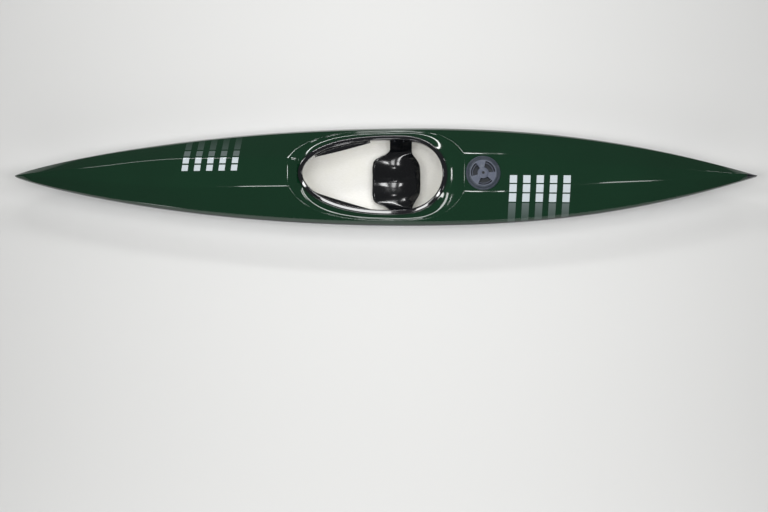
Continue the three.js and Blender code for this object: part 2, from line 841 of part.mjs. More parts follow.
function seatPlace(side, row, column) {
  const [outShare, upShare] = seatSpineShares[row];
  const reach = seatPanHalf * outShare;
  const earShare = THREE.MathUtils.smoothstep(outShare, ...seatEarShares);
  const sweep = THREE.MathUtils.smoothstep(outShare, ...seatSweepShares);
  const front = seatFront + (seatEarFront - seatFront) * earShare;
  const rear = seatRear + (seatEarRear - seatRear) * sweep;
  const t = column / seatColumns;
  const x = front + (rear - front) * t;
  const hollow = (seatHollowStation - seatFront) / (seatRear - seatFront);
  const frontLift = seatFrontRise * Math.max((hollow - t) / hollow, 0) ** 2;
  const rearLift = seatRearRise * Math.max((t - hollow) / (1 - hollow), 0) ** seatRearPower;
  const pommel = seatPommel * Math.exp(-((reach / seatPommelHalf) ** 2)) * (1 - t);
  const earTop = rimLowHeight - webDepth - seatLow;
  const z = seatLow + earTop * upShare + (frontLift + rearLift) * (1 - earShare) + pommel;
  return new THREE.Vector3(x, side * reach, z);
}

// Rows of an ear that lie along the inner wall of the coaming
function seatEarRow(side, drop, column) {
  const x = seatEarFront + (seatEarRear - seatEarFront) * column / seatColumns;
  const { half, rim } = coamingFacet(x, webInner + gap);
  return new THREE.Vector3(x, side * half, rim - drop);
}

function makeSeat() {
  const half = (side) => {
    const rows = seatSpineShares.map((_, row) => Array.from(
      { length: seatColumns + 1 },
      (_unused, column) => seatPlace(side, row, column),
    ));
    for (const drop of [webDepth + gap, seatEarTopDrop]) {
      rows.push(Array.from({ length: seatColumns + 1 }, (_, column) => seatEarRow(side, drop, column)));
    }
    return rows;
  };
  const port = half(-1).reverse();
  const grid = [...port, ...half(1).slice(1)];
  let seat = solidOf(thickSheet(grid, seatThickness));
  for (const bolt of seatBolts) {
    seat = seat.subtract(bolt.hole);
  }
  return seat;
}

// Post along the beam, from an inner to an outer half width on one side
function crossPost(radius, x, side, inner, outer, z, segments) {
  const geometry = post(radius, inner, outer, segments);
  geometry.rotateX(-side * Math.PI / 2);
  geometry.translate(x, 0, z);
  return geometry;
}

const seatBolts = [];
for (const side of [-1, 1]) {
  for (const x of [seatBoltStation - seatBoltSpacing / 2, seatBoltStation + seatBoltSpacing / 2]) {
    const { half: face, rim } = coamingFacet(x, webInner + gap);
    const z = rim - seatBoltDrop;
    const hole = solidOf(crossPost(
      seatBoltRadius + gap, x, side, face - overrun, face + overrun, z, boltSegments,
    ));
    seatBolts.push({ side, x, z, face, hole });
  }
}

function makeSeatBolt({ side, x, z, face }) {
  const under = face - seatThickness - 3 * gap;
  const tail = face + webThickness + seatBoltTail;
  const shank = crossPost(seatBoltRadius, x, side, under, tail, z, boltSegments);
  const head = crossPost(
    seatBoltHeadRadius, x, side, under - seatBoltHeadThickness, under, z, boltSegments,
  );
  return geometryOf(solidOf(shank).add(solidOf(head)));
}

function makeSeatNut({ side, x, z, face, hole }) {
  const inner = face + webThickness + 3 * gap;
  const nut = crossPost(seatNutRadius, x, side, inner, inner + seatNutThickness, z, nutSides);
  return geometryOf(solidOf(nut).subtract(hole));
}

// Hatch pieces, built round their own axis and then set on the deck. A ring's facets lie nearer the
// axis at their middles than at their corners, and what turns in the ring clears the middles.
const facetShare = Math.cos(Math.PI / hatchSegments);
const ringBase = gap;
const stepTop = ringBase + hatchStepHeight;
const gasketLow = stepTop + gap;
const gasketHigh = gasketLow + gasketThickness;
const lidLow = gasketHigh + gap;
const lidTop = lidLow + lidDiscThickness;

function makeHatchRing() {
  let ring = onHatch(ringOf([
    [hatchBoreRadius, -hatchNeckDepth],
    [hatchBoreRadius + hatchNeckWall, -hatchNeckDepth],
    [hatchBoreRadius + hatchNeckWall, ringBase],
    [hatchOuterRadius, ringBase],
    [hatchOuterRadius, ringBase + hatchFlange - hatchBevel],
    [hatchOuterRadius - hatchBevel, ringBase + hatchFlange],
    [hatchStepRadius, ringBase + hatchFlange],
    [hatchStepRadius, stepTop],
    [hatchBoreRadius, stepTop],
  ], hatchSegments));
  for (const place of hatchScrewPlaces) {
    ring = ring.subtract(hatchScrewHole(place, hatchScrewRadius + gap));
    const seat = post(
      hatchScrewHeadRadius + gap,
      ringBase + hatchFlange - hatchScrewHeadDepth - gap,
      overrun,
      boltSegments,
    );
    ring = ring.subtract(onHatch(seat.translate(place.x, place.y, 0)));
  }
  return ring;
}

function makeHatchScrew(place) {
  const top = ringBase + hatchFlange;
  const shank = post(hatchScrewRadius, top - hatchScrewLength, top - gap, boltSegments);
  const head = post(hatchScrewHeadRadius, top - hatchScrewHeadDepth, top, boltSegments);
  const screw = solidOf(shank.translate(place.x, place.y, 0));
  const whole = screw.add(solidOf(head.translate(place.x, place.y, 0)));
  return geometryOf(whole).applyMatrix4(hatchPlace);
}

function makeGasket() {
  const half = gasketThickness / 2;
  return onHatch(ringOf([
    [gasketRadius - half, gasketLow],
    [gasketRadius + half, gasketLow],
    [gasketRadius + half, gasketHigh],
    [gasketRadius - half, gasketHigh],
  ], hatchSegments));
}

// Sector of a ring about a lid pocket's middle line, between two radii and two levels
function sector(inner, outer, low, high, middle) {
  const shape = new THREE.Shape();
  shape.absarc(0, 0, outer, middle - lidPocketHalfAngle, middle + lidPocketHalfAngle, false);
  shape.absarc(0, 0, inner, middle + lidPocketHalfAngle, middle - lidPocketHalfAngle, true);
  const geometry = new THREE.ExtrudeGeometry(shape, {
    depth: high - low,
    bevelEnabled: false,
    curveSegments: pocketArcSteps,
  });
  return solidOf(geometry.translate(0, 0, low));
}

function makeLid() {
  const bottom = -lidPlugDepth;
  const disc = solidOf(post(hatchStepRadius * facetShare - gap, lidLow, lidTop, hatchSegments));
  const plugRadius = hatchBoreRadius * facetShare - gap;
  const plug = solidOf(post(plugRadius, bottom, lidTop - gap, hatchSegments));
  const hub = solidOf(post(lidHubRadius, lidLow, lidTop + lidHubHeight, hatchSegments / 2));
  let lid = disc.add(plug).add(hub);
  const floor = bottom + lidPocketFloor;
  for (let i = 0; i < lidPocketCount; i += 1) {
    const middle = lidPocketFirstAngle + i * 2 * Math.PI / lidPocketCount;
    lid = lid.subtract(sector(lidPocketInner, lidPocketOuter, floor, overrun, middle));
    const gripOuter = lidGripRadius + lidGripThickness;
    lid = lid.add(sector(lidGripRadius, gripOuter, floor - gap, floor + lidGripHeight, middle));
  }
  const hubTop = lidTop + lidHubHeight;
  const bore = post(hubScrewRadius + gap, hubTop - hubScrewDepth - gap, overrun, boltSegments * 2);
  lid = lid.subtract(solidOf(bore));
  return geometryOf(lid).applyMatrix4(hatchPlace);
}

function makeHubScrew() {
  const top = lidTop + lidHubHeight - hubScrewSink;
  return post(hubScrewRadius, top - hubScrewDepth + hubScrewSink, top, boltSegments * 2)
    .applyMatrix4(hatchPlace);
}

// Foot brace frame: x along the rail towards the stern, y out to the hull side, z up
function footBraceSide(side) {
  const half = (x) => hullHalfAt(x, footBoltHeight) - skin;
  const front = footBraceStation - footBoltSpacing / 2;
  const rear = footBraceStation + footBoltSpacing / 2;
  const angle = Math.atan2(half(rear) - half(front), rear - front);
  const wall = (half(front) + half(rear)) / 2;
  const place = new THREE.Matrix4().makeTranslation(footBraceStation, side * wall, footBoltHeight);
  place.multiply(new THREE.Matrix4().makeRotationZ(side * angle));
  const boltReach = footBoltSpacing / 2 / Math.cos(angle);
  return { side, place, boltReach };
}

const footBraceSides = [footBraceSide(-1), footBraceSide(1)];
const railInner = -railStandoff - railThickness;

// Box between two corners of the foot brace frame, where y counts towards the hull side
function braceBox(from, to, side) {
  const size = to.map((value, i) => value - from[i]);
  const geometry = new THREE.BoxGeometry(...size);
  const middle = from.map((value, i) => value + size[i] / 2);
  return geometry.translate(middle[0], side * middle[1], middle[2]);
}

// Post across the rail, in the foot brace frame
function bracePost(radius, x, side, inner, outer) {
  return crossPost(radius, x, side, inner, outer, 0, boltSegments);
}

const insideFit = solidOf(loftAlong(cavityBow, cavityStern, boatInside(skin + gap)));

function makeRail({ side, place, boltReach }) {
  const outline = [new THREE.Vector2(-railLength / 2, -railHeight / 2)];
  outline.push(new THREE.Vector2(railLength / 2, -railHeight / 2));
  const teeth = Math.floor(railLength / railToothPitch);
  const step = railLength / teeth;
  for (let i = 0; i < teeth; i += 1) {
    const x = railLength / 2 - i * step;
    outline.push(new THREE.Vector2(x, railHeight / 2));
    outline.push(new THREE.Vector2(x - step / 2, railHeight / 2));
    outline.push(new THREE.Vector2(x - step / 2, railHeight / 2 - railToothDepth));
    outline.push(new THREE.Vector2(x - step, railHeight / 2 - railToothDepth));
  }
  const shape = new THREE.Shape(outline);
  const bar = new THREE.ExtrudeGeometry(shape, { depth: railThickness, bevelEnabled: false });
  bar.rotateX(Math.PI / 2);
  bar.translate(0, side > 0 ? -railStandoff : railStandoff + railThickness, 0);
  let rail = solidOf(bar);
  for (const x of [-boltReach, boltReach]) {
    rail = rail.add(solidOf(bracePost(railBossRadius, x, side, railInner + gap, overrun)));
  }
  rail = solidOf(geometryOf(rail).applyMatrix4(place)).intersect(insideFit);
  for (const x of [-boltReach, boltReach]) {
    const hole = bracePost(footBoltRadius + gap, x, side, -footBoltBite - gap, overrun);
    rail = rail.subtract(solidOf(hole.applyMatrix4(place)));
  }
  return rail;
}

function footBoltHole({ side, place }, x) {
  const hole = bracePost(footBoltRadius + gap, x, side, -overrun, overrun);
  return solidOf(hole.applyMatrix4(place));
}

function makeFootBolt({ side, place }, x) {
  const outer = skin + 2 * gap;
  const shank = bracePost(footBoltRadius, x, side, -footBoltBite, outer + gap);
  const head = bracePost(footBoltHeadRadius, x, side, outer, outer + footBoltHeadThickness);
  return geometryOf(solidOf(shank).add(solidOf(head))).applyMatrix4(place);
}

function makePedal({ side, place }) {
  const top = railHeight / 2 + gap;
  const back = -railStandoff + gap;
  const face = railInner - gap;
  const half = clipLength / 2;
  const block = solidOf(braceBox(
    [-half, face - clipWall, -top - clipWall],
    [half, back + clipHookThickness, top + clipWall],
    side,
  ));
  const slot = solidOf(braceBox([-half - overrun, face, -top], [half + overrun, back, top], side));
  const mouth = solidOf(braceBox(
    [-half - overrun, face, -top + clipHook],
    [half + overrun, back + overrun, top - clipHook],
    side,
  ));
  const clip = block.subtract(slot).subtract(mouth);
  const low = pedalLift - pedalHeight / 2;
  const width = pedalReach;
  const plate = new THREE.Shape();
  plate.moveTo(0, low);
  plate.lineTo(width - pedalCorner, low);
  plate.absarc(width - pedalCorner, low + pedalCorner, pedalCorner, -Math.PI / 2, 0, false);
  plate.lineTo(width, low + pedalHeight - pedalCorner);
  plate.absarc(width - pedalCorner, low + pedalHeight - pedalCorner, pedalCorner, 0, Math.PI / 2, false);
  plate.lineTo(0, low + pedalHeight);
  const options = { depth: pedalThickness, bevelEnabled: false, curveSegments: pedalCornerSteps };
  const geometry = new THREE.ExtrudeGeometry(plate, options);
  const swap = new THREE.Matrix4().makeBasis(
    new THREE.Vector3(0, -side, 0),
    new THREE.Vector3(0, 0, 1),
    new THREE.Vector3(-side, 0, 0),
  );
  geometry.applyMatrix4(swap);
  const shift = side > 0 ? pedalThickness / 2 : -pedalThickness / 2;
  geometry.translate(shift, side * (face - clipWall + gap), 0);
  let pedal = clip.add(solidOf(geometry));
  for (let i = 0; i < pedalRibCount; i += 1) {
    const z = low + pedalHeight * (i + 1) / (pedalRibCount + 1);
    const rib = braceBox(
      [pedalThickness / 2 - gap, face - clipWall - width + pedalCorner, z - pedalRibWidth / 2],
      [pedalThickness / 2 + pedalRibHeight, face - clipWall - pedalRibWidth, z + pedalRibWidth / 2],
      side,
    );
    pedal = pedal.add(solidOf(rib));
  }
  return geometryOf(pedal).applyMatrix4(place);
}

function skegProfile(x) {
  const share = Math.max(x - skegCurveStart, 0) / (skegRear - skegCurveStart);
  const low = skegBottom + (skegTailHeight - skegBottom) * share ** 2;
  return [[skegEdgeHalf, low], [skegRootHalf, keelZ(x) - gap]];
}

function sliceInside(from, to) {
  const slab = new THREE.BoxGeometry(to - from, boatBeam, 2 * deckHeight);
  slab.translate((from + to) / 2, 0, 0);
  return insideFit.intersect(solidOf(slab));
}

// The boat, piece by piece
const kayak = new THREE.Group();

function addPiece(name, finish, geometry) {
  const [color, roughness, metalness] = finishes[finish];
  const material = new THREE.MeshStandardMaterial({ color, roughness, metalness });
  const mesh = new THREE.Mesh(geometry, material);
  mesh.name = name;
  kayak.add(mesh);
}

let hull = makeHull();
for (const brace of footBraceSides) {
  for (const x of [-brace.boltReach, brace.boltReach]) {
    hull = hull.subtract(footBoltHole(brace, x));
  }
}
addPiece('hull_shell', 'hull', geometryOf(hull));
addPiece('deck_shell', 'deck', geometryOf(makeDeck()));
addPiece('bow_cap', 'band', makeBowCap());
addPiece('stern_cap', 'band', makeSternCap());

let coaming = makeCoaming();
for (const bolt of seatBolts) {
  coaming = coaming.subtract(bolt.hole);
}
addPiece('coaming', 'coaming', geometryOf(coaming));
addPiece('seat', 'seat', geometryOf(makeSeat()));
seatBolts.forEach((bolt, i) => {
  addPiece(`seat_bolt_${i + 1}`, 'steel', makeSeatBolt(bolt));
  addPiece(`seat_nut_${i + 1}`, 'steel', makeSeatNut(bolt));
});

addPiece('hatch_ring', 'hatch', geometryOf(makeHatchRing()));
addPiece('hatch_gasket', 'gasket', geometryOf(makeGasket()));
addPiece('hatch_lid', 'hatch', makeLid());
addPiece('hatch_hub_screw', 'plastic', makeHubScrew());
hatchScrewPlaces.forEach((place, i) => {
  addPiece(`hatch_screw_${i + 1}`, 'steel', makeHatchScrew(place));
});

const footBolts = [];
for (const brace of footBraceSides) {
  const sideName = brace.side < 0 ? 'port' : 'starboard';
  addPiece(`seam_band_${sideName}`, 'band', makeBand(brace.side));
  addPiece(`thigh_brace_${sideName}`, 'coaming', makeBrace(brace.side));
  addPiece(`footrest_rail_${sideName}`, 'plastic', geometryOf(makeRail(brace)));
  addPiece(`footrest_pedal_${sideName}`, 'plastic', makePedal(brace));
  footBolts.push([brace, -brace.boltReach], [brace, brace.boltReach]);
}
footBolts.forEach(([brace, x], i) => {
  addPiece(`footrest_bolt_${i + 1}`, 'steel', makeFootBolt(brace, x));
});

addPiece('skeg', 'hull', loftAlong(skegFront, skegRear, skegProfile));
const bulkhead = sliceInside(bulkheadStation, bulkheadStation + bulkheadThickness);
addPiece('rear_bulkhead', 'laminate', geometryOf(bulkhead));
addPiece('bow_foam_block', 'foam', geometryOf(sliceInside(foamFront, foamRear)));

export default kayak;
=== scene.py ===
# %% [markdown]
# A touring kayak in Blender.
# The boat is a composite shell: a white hull and a dark green deck are moulded apart and then
# joined along a dark seam band. The cockpit sits in a sunk recess, with a black coaming, a hanging
# seat, and a screw-in hatch behind it. The construction model gives every piece its size and place.
# This script keeps those and gives each piece its fine surface and its finish.

# %% Load the frame
import math

import bmesh
import bpy
import numpy as np
from mathutils import Matrix, Vector


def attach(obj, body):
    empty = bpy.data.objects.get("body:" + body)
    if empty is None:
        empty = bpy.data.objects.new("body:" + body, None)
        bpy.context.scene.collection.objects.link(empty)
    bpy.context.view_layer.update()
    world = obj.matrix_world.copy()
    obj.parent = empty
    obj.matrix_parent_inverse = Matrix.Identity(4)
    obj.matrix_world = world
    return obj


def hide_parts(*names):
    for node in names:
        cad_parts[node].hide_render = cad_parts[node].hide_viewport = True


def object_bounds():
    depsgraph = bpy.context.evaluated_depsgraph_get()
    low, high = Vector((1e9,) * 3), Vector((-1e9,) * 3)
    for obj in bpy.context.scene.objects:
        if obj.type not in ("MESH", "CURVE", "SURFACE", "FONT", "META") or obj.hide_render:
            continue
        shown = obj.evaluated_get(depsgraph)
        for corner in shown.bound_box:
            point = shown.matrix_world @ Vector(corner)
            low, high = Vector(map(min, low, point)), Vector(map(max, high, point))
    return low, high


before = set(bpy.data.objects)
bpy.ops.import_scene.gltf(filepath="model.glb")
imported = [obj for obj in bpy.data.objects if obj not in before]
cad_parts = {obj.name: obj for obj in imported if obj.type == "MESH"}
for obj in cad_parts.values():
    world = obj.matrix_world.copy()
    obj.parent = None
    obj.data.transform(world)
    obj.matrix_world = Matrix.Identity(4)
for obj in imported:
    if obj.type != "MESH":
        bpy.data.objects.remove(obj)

cad_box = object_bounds()
scene = bpy.context.scene
scene.view_settings.view_transform = "Standard"
sides = ((-1, "port"), (1, "starboard"))


def add_object(name, data):
    """Puts a mesh, a lamp or a camera into the scene."""
    thing = bpy.data.objects.new(name, data)
    scene.collection.objects.link(thing)
    return thing


def turned_to(direction):
    """The rotation that turns an object's Z axis to a direction."""
    return direction.to_track_quat("Z", "Y").to_euler()


# %% [markdown]
# Camera.
# The photograph looks down on the boat from 80 degrees, a little from the port side, with the bow to
# the left and the boat in the upper part of the picture. A short lens would make the middle of the
# deck look nearer than the ends. A long lens far away keeps the outline as straight as the photograph
# shows it, so the camera stands 14 m off. Its aim is moved along the picture's own up direction.

# %% Camera
photo_width_px, photo_height_px = 768, 512
bow_px, stern_px = 15, 757
boat_middle_px = (386, 176)
camera_elevation = math.radians(80)
camera_distance = 14.0
sensor_width = 36.0
deck_middle_height = 0.2

boat_length = cad_box[1][0] - cad_box[0][0]
metres_per_px = boat_length / (stern_px - bow_px)
boat_middle = Vector((0, 0, deck_middle_height))
picture_up = Vector((0, math.sin(camera_elevation), math.cos(camera_elevation)))
towards_camera = Vector((0, -math.cos(camera_elevation), math.sin(camera_elevation)))
aim_right = (photo_width_px / 2 - boat_middle_px[0]) * metres_per_px
aim_down = (photo_height_px / 2 - boat_middle_px[1]) * metres_per_px
aim = boat_middle + Vector((aim_right, 0, 0)) - picture_up * aim_down

camera = add_object("camera", bpy.data.cameras.new("camera"))
camera.location = aim + towards_camera * camera_distance
camera.rotation_euler = turned_to(towards_camera)
camera.data.sensor_width = sensor_width
camera.data.lens = sensor_width * camera_distance / (photo_width_px * metres_per_px)
scene.camera = camera
print(f"lens {camera.data.lens:.0f} mm, {metres_per_px * 1000:.2f} mm in a pixel")

# %% [markdown]
# Light.
# A polished dark deck shows the room more than it shows its own colour. Bright light from all round
# would turn the green grey. So the surroundings are dim, and the bright lamps are short soft boxes and
# narrow strips, in directions that the broad slopes of the deck don't mirror to the camera. Only
# rounded creases mirror them, and that draws the thin bright lines along the boat. Three wide fills,
# which polished faces don't mirror, light the rest.

# %% Light
surround_strength = 0.13
light_aim = Vector((0, 0, 0.25))
# Each lamp: lean from overhead towards starboard in degrees, middle along the boat, distance, width,
# length, radiance, and whether polished faces mirror it
lamps = {
    "key_fore": (-13.5, -1.09, 3.2, 0.5, 0.54, 14.0, True),
    "key_middle": (-15.5, 0.03, 3.2, 0.86, 0.38, 9.5, True),
    "key_aft": (-13.5, 0.89, 3.2, 0.5, 0.46, 14.0, True),
    "key_stern": (-13.5, 2.1, 3.2, 0.5, 0.5, 7.0, True),
    "recess_glint": (12.0, -0.1, 3.2, 0.3, 0.4, 14.0, True),
    "starboard_bow_strip": (50.0, -2.0, 3.2, 0.24, 1.25, 14.0, True),
    "starboard_strip": (50.0, 0.2, 3.2, 0.24, 1.7, 18.0, True),
    "starboard_stern_strip": (50.0, 2.92, 3.2, 0.24, 0.45, 20.0, True),
    "low_port_strip": (-76, 0.0, 3.6, 0.25, 6.5, 5.0, True),
    "wide_fill": (0, 0.0, 3.8, 3.0, 8.0, 1.8, False),
    "port_fill": (-66, 0.0, 3.8, 1.6, 7.5, 1.3, False),
    "starboard_fill": (66, 0.0, 3.8, 1.6, 7.5, 0.6, False),
}

scene.world = bpy.data.worlds.new("studio")
scene.world.use_nodes = True
background = scene.world.node_tree.nodes["Background"].inputs
background["Color"].default_value = (1, 1, 1, 1)
background["Strength"].default_value = surround_strength

for name, (lean, middle, distance, width, length, radiance, mirrored_by_gloss) in lamps.items():
    lamp = bpy.data.lights.new(name, "AREA")
    lamp.shape = "RECTANGLE"
    lamp.size = length
    lamp.size_y = width
    lamp.energy = radiance * math.pi * width * length
    holder = add_object(name, lamp)
    away = Vector((0, math.sin(math.radians(lean)), math.cos(math.radians(lean))))
    holder.location = light_aim + Vector((middle, 0, 0)) + away * distance
    holder.rotation_euler = turned_to(away)
    holder.visible_camera = False
    holder.visible_glossy = mirrored_by_gloss
    print(name, f"{lamp.energy:.0f} W")

# %% [markdown]
# Helpers for node trees.
# A finish is a small tree of nodes. A few helpers keep each tree readable. One adds a node with its
# settings and inputs in one call, one builds a node group whose sockets have names, and short ones
# stand for the nodes that come up again and again.

# %% Node helpers
def add_node(tree, kind, inputs=None, **settings):
    """A node with its settings. An input that is a socket is linked, and any other value is set."""
    node = tree.nodes.new(kind)
    for name, value in settings.items():
        setattr(node, name, value)
    for socket, value in (inputs or {}).items():
        if isinstance(value, bpy.types.NodeSocket):
            tree.links.new(value, node.inputs[socket])
        else:
            node.inputs[socket].default_value = value
    return node


def new_group(name, kind, inputs, outputs):
    """A node group and its sockets. An input is a number, or the name of another kind of socket."""
    group = bpy.data.node_groups.new(name, kind)
    for label, value in inputs.items():
        socket_kind = value if isinstance(value, str) else "Float"
        socket = group.interface.new_socket(label, in_out="INPUT", socket_type="NodeSocket" + socket_kind)
        if socket_kind == "Float":
            socket.default_value = value
    for label, socket_kind in outputs.items():
        group.interface.new_socket(label, in_out="OUTPUT", socket_type="NodeSocket" + socket_kind)
    given = group.nodes.new("NodeGroupInput").outputs
    return group, given, group.nodes.new("NodeGroupOutput").inputs


def connect(tree, sockets, values):
    for label, value in values.items():
        tree.links.new(value, sockets[label])


def math_node(tree, operation, first, *others):
    """An operation on one value, or on a first value and each of the others in turn."""
    if not others:
        return add_node(tree, "ShaderNodeMath", {0: first}, operation=operation).outputs[0]
    for other in others:
        first = add_node(tree, "ShaderNodeMath", {0: first, 1: other}, operation=operation).outputs[0]
    return first


def mix_colour(tree, factor, a, b):
    return add_node(tree, "ShaderNodeMix", {0: factor, 6: a, 7: b}, data_type="RGBA").outputs[2]


def map_range(tree, value, from_low, from_high, to_low=0.0, to_high=1.0):
    inputs = {0: value, 1: from_low, 2: from_high, 3: to_low, 4: to_high}
    return add_node(tree, "ShaderNodeMapRange", inputs).outputs[0]


def own_place(tree):
    """The place on the piece, in metres."""
    return add_node(tree, "ShaderNodeTexCoord").outputs["Object"]


def axis_of(tree, vector, index):
    return add_node(tree, "ShaderNodeSeparateXYZ", {0: vector}).outputs[index]


def noise(tree, vector, scale, detail=2.0, roughness=0.5):
    inputs = {"Vector": vector, "Scale": scale, "Detail": detail, "Roughness": roughness}
    return add_node(tree, "ShaderNodeTexNoise", inputs).outputs[0]


def streaks(tree, vector, scale, turn, detail, roughness):
    """Noise that is scaled unevenly, so that it runs in streaks."""
    inputs = {"Vector": vector, "Scale": scale, "Rotation": (0, 0, turn)}
    stretched = add_node(tree, "ShaderNodeMapping", inputs).outputs[0]
    return noise(tree, stretched, 1.0, detail, roughness)


def bump(tree, strength, distance, height):
    inputs = {"Strength": strength, "Distance": distance, "Height": height}
    return add_node(tree, "ShaderNodeBump", inputs).outputs[0]


print("node helpers ready")

# %% [markdown]
# Finishes that several materials share.
# Real surfaces are never even. Gelcoat has a faint orange peel and fine scratches, a hand-laid
# laminate shows its glass strands, and moulded plastic has a fine grain. Each effect is one node
# group with named inputs, so that many materials can use it, each with its own values. The groups
# put out only masks, values and normals. The shader itself stays in each material.

# %% Shader group: polished gelcoat
peel_scale, peel_height = 110.0, 0.0006
haze_scale, haze_levels, haze_range = 14.0, (0.3, 0.7), (-0.02, 0.03)
shade_scale, shade_levels, shade_range = 2.3, (0.25, 0.75), (0.93, 1.07)
scratch_scale, scratch_turn, scratch_levels = (9.0, 420.0, 420.0), 0.06, (0.6, 0.78)
scratch_share_above = 0.12


def make_gelcoat_group():
    group, given, result = new_group(
        "gelcoat_surface", "ShaderNodeTree",
        {"Base Roughness": 0.08, "Scratch Roughness": 0.2, "Peel": 0.05, "Wear Height": 0.05},
        {"Shade": "Float", "Roughness": "Float", "Normal": "Vector"},
    )
    place = own_place(group)
    scratches = streaks(group, place, scratch_scale, scratch_turn, detail=4.0, roughness=0.7)
    low = map_range(group, axis_of(group, place, 2), given["Wear Height"], 0.0, scratch_share_above, 1.0)
    worn = math_node(group, "MULTIPLY", map_range(group, scratches, *scratch_levels), low,
                     given["Scratch Roughness"])
    haze = map_range(group, noise(group, place, haze_scale, 3.0), *haze_levels, *haze_range)
    connect(group, result, {
        "Shade": map_range(group, noise(group, place, shade_scale, 3.0), *shade_levels, *shade_range),
        "Roughness": math_node(group, "ADD", given["Base Roughness"], haze, worn),
        "Normal": bump(group, given["Peel"], peel_height, noise(group, place, peel_scale, 1.0)),
    })
    return group


gelcoat_group = make_gelcoat_group()
print(gelcoat_group.name, [item.name for item in gelcoat_group.interface.items_tree])

# %% Shader group: glass strands in a laminate
strand_turns = (0.35, 1.45, 2.5)
strand_scale, strand_levels, strand_height = (55.0, 420.0, 300.0), (0.42, 0.7), 0.0008
stain_scale, stain_levels = 5.0, (0.35, 0.7)


def make_laminate_group():
    group, given, result = new_group(
        "glass_strands", "ShaderNodeTree", {"Strand Size": 1.0, "Depth": 0.25},
        {"Strands": "Float", "Stain": "Float", "Normal": "Vector"},
    )
    place = own_place(group)
    sized = add_node(group, "ShaderNodeVectorMath", {0: place, "Scale": given["Strand Size"]},
                     operation="SCALE").outputs[0]
    layers = [streaks(group, sized, strand_scale, turn, detail=2.0, roughness=0.6)
              for turn in strand_turns]
    layers = [map_range(group, layer, *strand_levels) for layer in layers]
    strands = math_node(group, "MAXIMUM", *layers)
    connect(group, result, {
        "Strands": strands,
        "Stain": map_range(group, noise(group, place, stain_scale, 3.0), *stain_levels),
        "Normal": bump(group, given["Depth"], strand_height, strands),
    })
    return group


laminate_group = make_laminate_group()
print(laminate_group.name, "with", len(strand_turns), "layers of strands")

# %% Shader group: moulded grain
handling_scale, handling_levels, handling_spread = 38.0, (0.3, 0.7), 0.08
dust_levels, dust_slope_levels = (0.45, 0.75), (0.3, 1.0)
grain_height = 0.0003


def make_grain_group():
    group, given, result = new_group(
        "moulded_grain", "ShaderNodeTree", {"Grain Size": 900.0, "Depth": 0.3, "Base Roughness": 0.4},
        {"Dust": "Float", "Roughness": "Float", "Normal": "Vector"},
    )
    source = add_node(group, "ShaderNodeTexCoord").outputs
    place = source["Object"]
    handled = noise(group, place, handling_scale, 4.0, 0.6)
    faces_up = map_range(group, axis_of(group, source["Normal"], 2), *dust_slope_levels)
    spread = map_range(group, handled, *handling_levels, -handling_spread, handling_spread)
    grain = noise(group, place, given["Grain Size"], 2.0, 0.6)
    connect(group, result, {
        "Dust": math_node(group, "MULTIPLY", faces_up, map_range(group, handled, *dust_levels)),
        "Roughness": math_node(group, "ADD", given["Base Roughness"], spread),
        "Normal": bump(group, given["Depth"], grain_height, grain),
    })
    return group


grain_group = make_grain_group()
print(grain_group.name)

# %% [markdown]
# The boat's finishes.
# A material is a Principled shader with one of the groups in front of it. Colours were read off the
# photograph: white hull with a cool cast, dark green deck, near-black band, black coaming and
# seat under a clear coat, cream interior, slate hatch. Numbers that are the same all over a surface
# are set on the shader's own sockets.

# %% Material helpers
def new_material(name, settings):
    """A material with uniform settings on its Principled shader."""
    material = bpy.data.materials.new(name)
    material.use_nodes = True
    shader = material.node_tree.nodes["Principled BSDF"].inputs
    for socket, value in settings.items():
        shader[socket].default_value = value
    return material, material.node_tree, shader


def grouped_material(name, settings, group, values, colour_of):
    """A material whose surface comes from a group. colour_of(tree, surface) makes its base colour."""
    material, tree, shader = new_material(name, settings)
    surface = add_node(tree, "ShaderNodeGroup", values, node_tree=group).outputs
    links = {"Base Color": colour_of(tree, surface), "Normal": surface["Normal"]}
    if "Roughness" in surface:
        links["Roughness"] = surface["Roughness"]
    connect(tree, shader, links)
    return material


shade_low, shade_high = 0.9, 1.1


def shaded(tree, colour, shade):
    """A colour, a little lighter and darker where a mask says."""
    dark, light = [tuple(share * part for part in colour) + (1,) for share in (shade_low, shade_high)]
    return mix_colour(tree, map_range(tree, shade, shade_low, shade_high), dark, light)


def gelcoat(name, colour, roughness, peel, coat=0.0, coat_roughness=0.03, wear_height=0.05, paint=None):
    """Polished gelcoat, with paint over its colour where there is some."""
    def colour_of(tree, surface):
        base = shaded(tree, colour, surface["Shade"])
        return paint(tree, base) if paint else base

    values = {"Base Roughness": roughness, "Peel": peel, "Wear Height": wear_height}
    settings = {"Coat Weight": coat, "Coat Roughness": coat_roughness}
    return grouped_material(name, settings, gelcoat_group, values, colour_of)


def moulded(name, colour, dust_colour, roughness, grain_size=900.0, depth=0.3):
    def colour_of(tree, surface):
        return mix_colour(tree, surface["Dust"], (*colour, 1), (*dust_colour, 1))

    values = {"Base Roughness": roughness, "Grain Size": grain_size, "Depth": depth}
    return grouped_material(name, {}, grain_group, values, colour_of)


stain_strength, strand_depth, laminate_roughness = 0.5, 0.35, 0.55


def laminate(name, resin, strand, stain, size):
    def colour_of(tree, surface):
        cloth = mix_colour(tree, surface["Strands"], (*resin, 1), (*strand, 1))
        stained = math_node(tree, "MULTIPLY", surface["Stain"], stain_strength)
        return mix_colour(tree, stained, cloth, (*stain, 1))

    values = {"Strand Size": size, "Depth": strand_depth}
    settings = {"Roughness": laminate_roughness}
    return grouped_material(name, settings, laminate_group, values, colour_of)


print("material helpers ready")

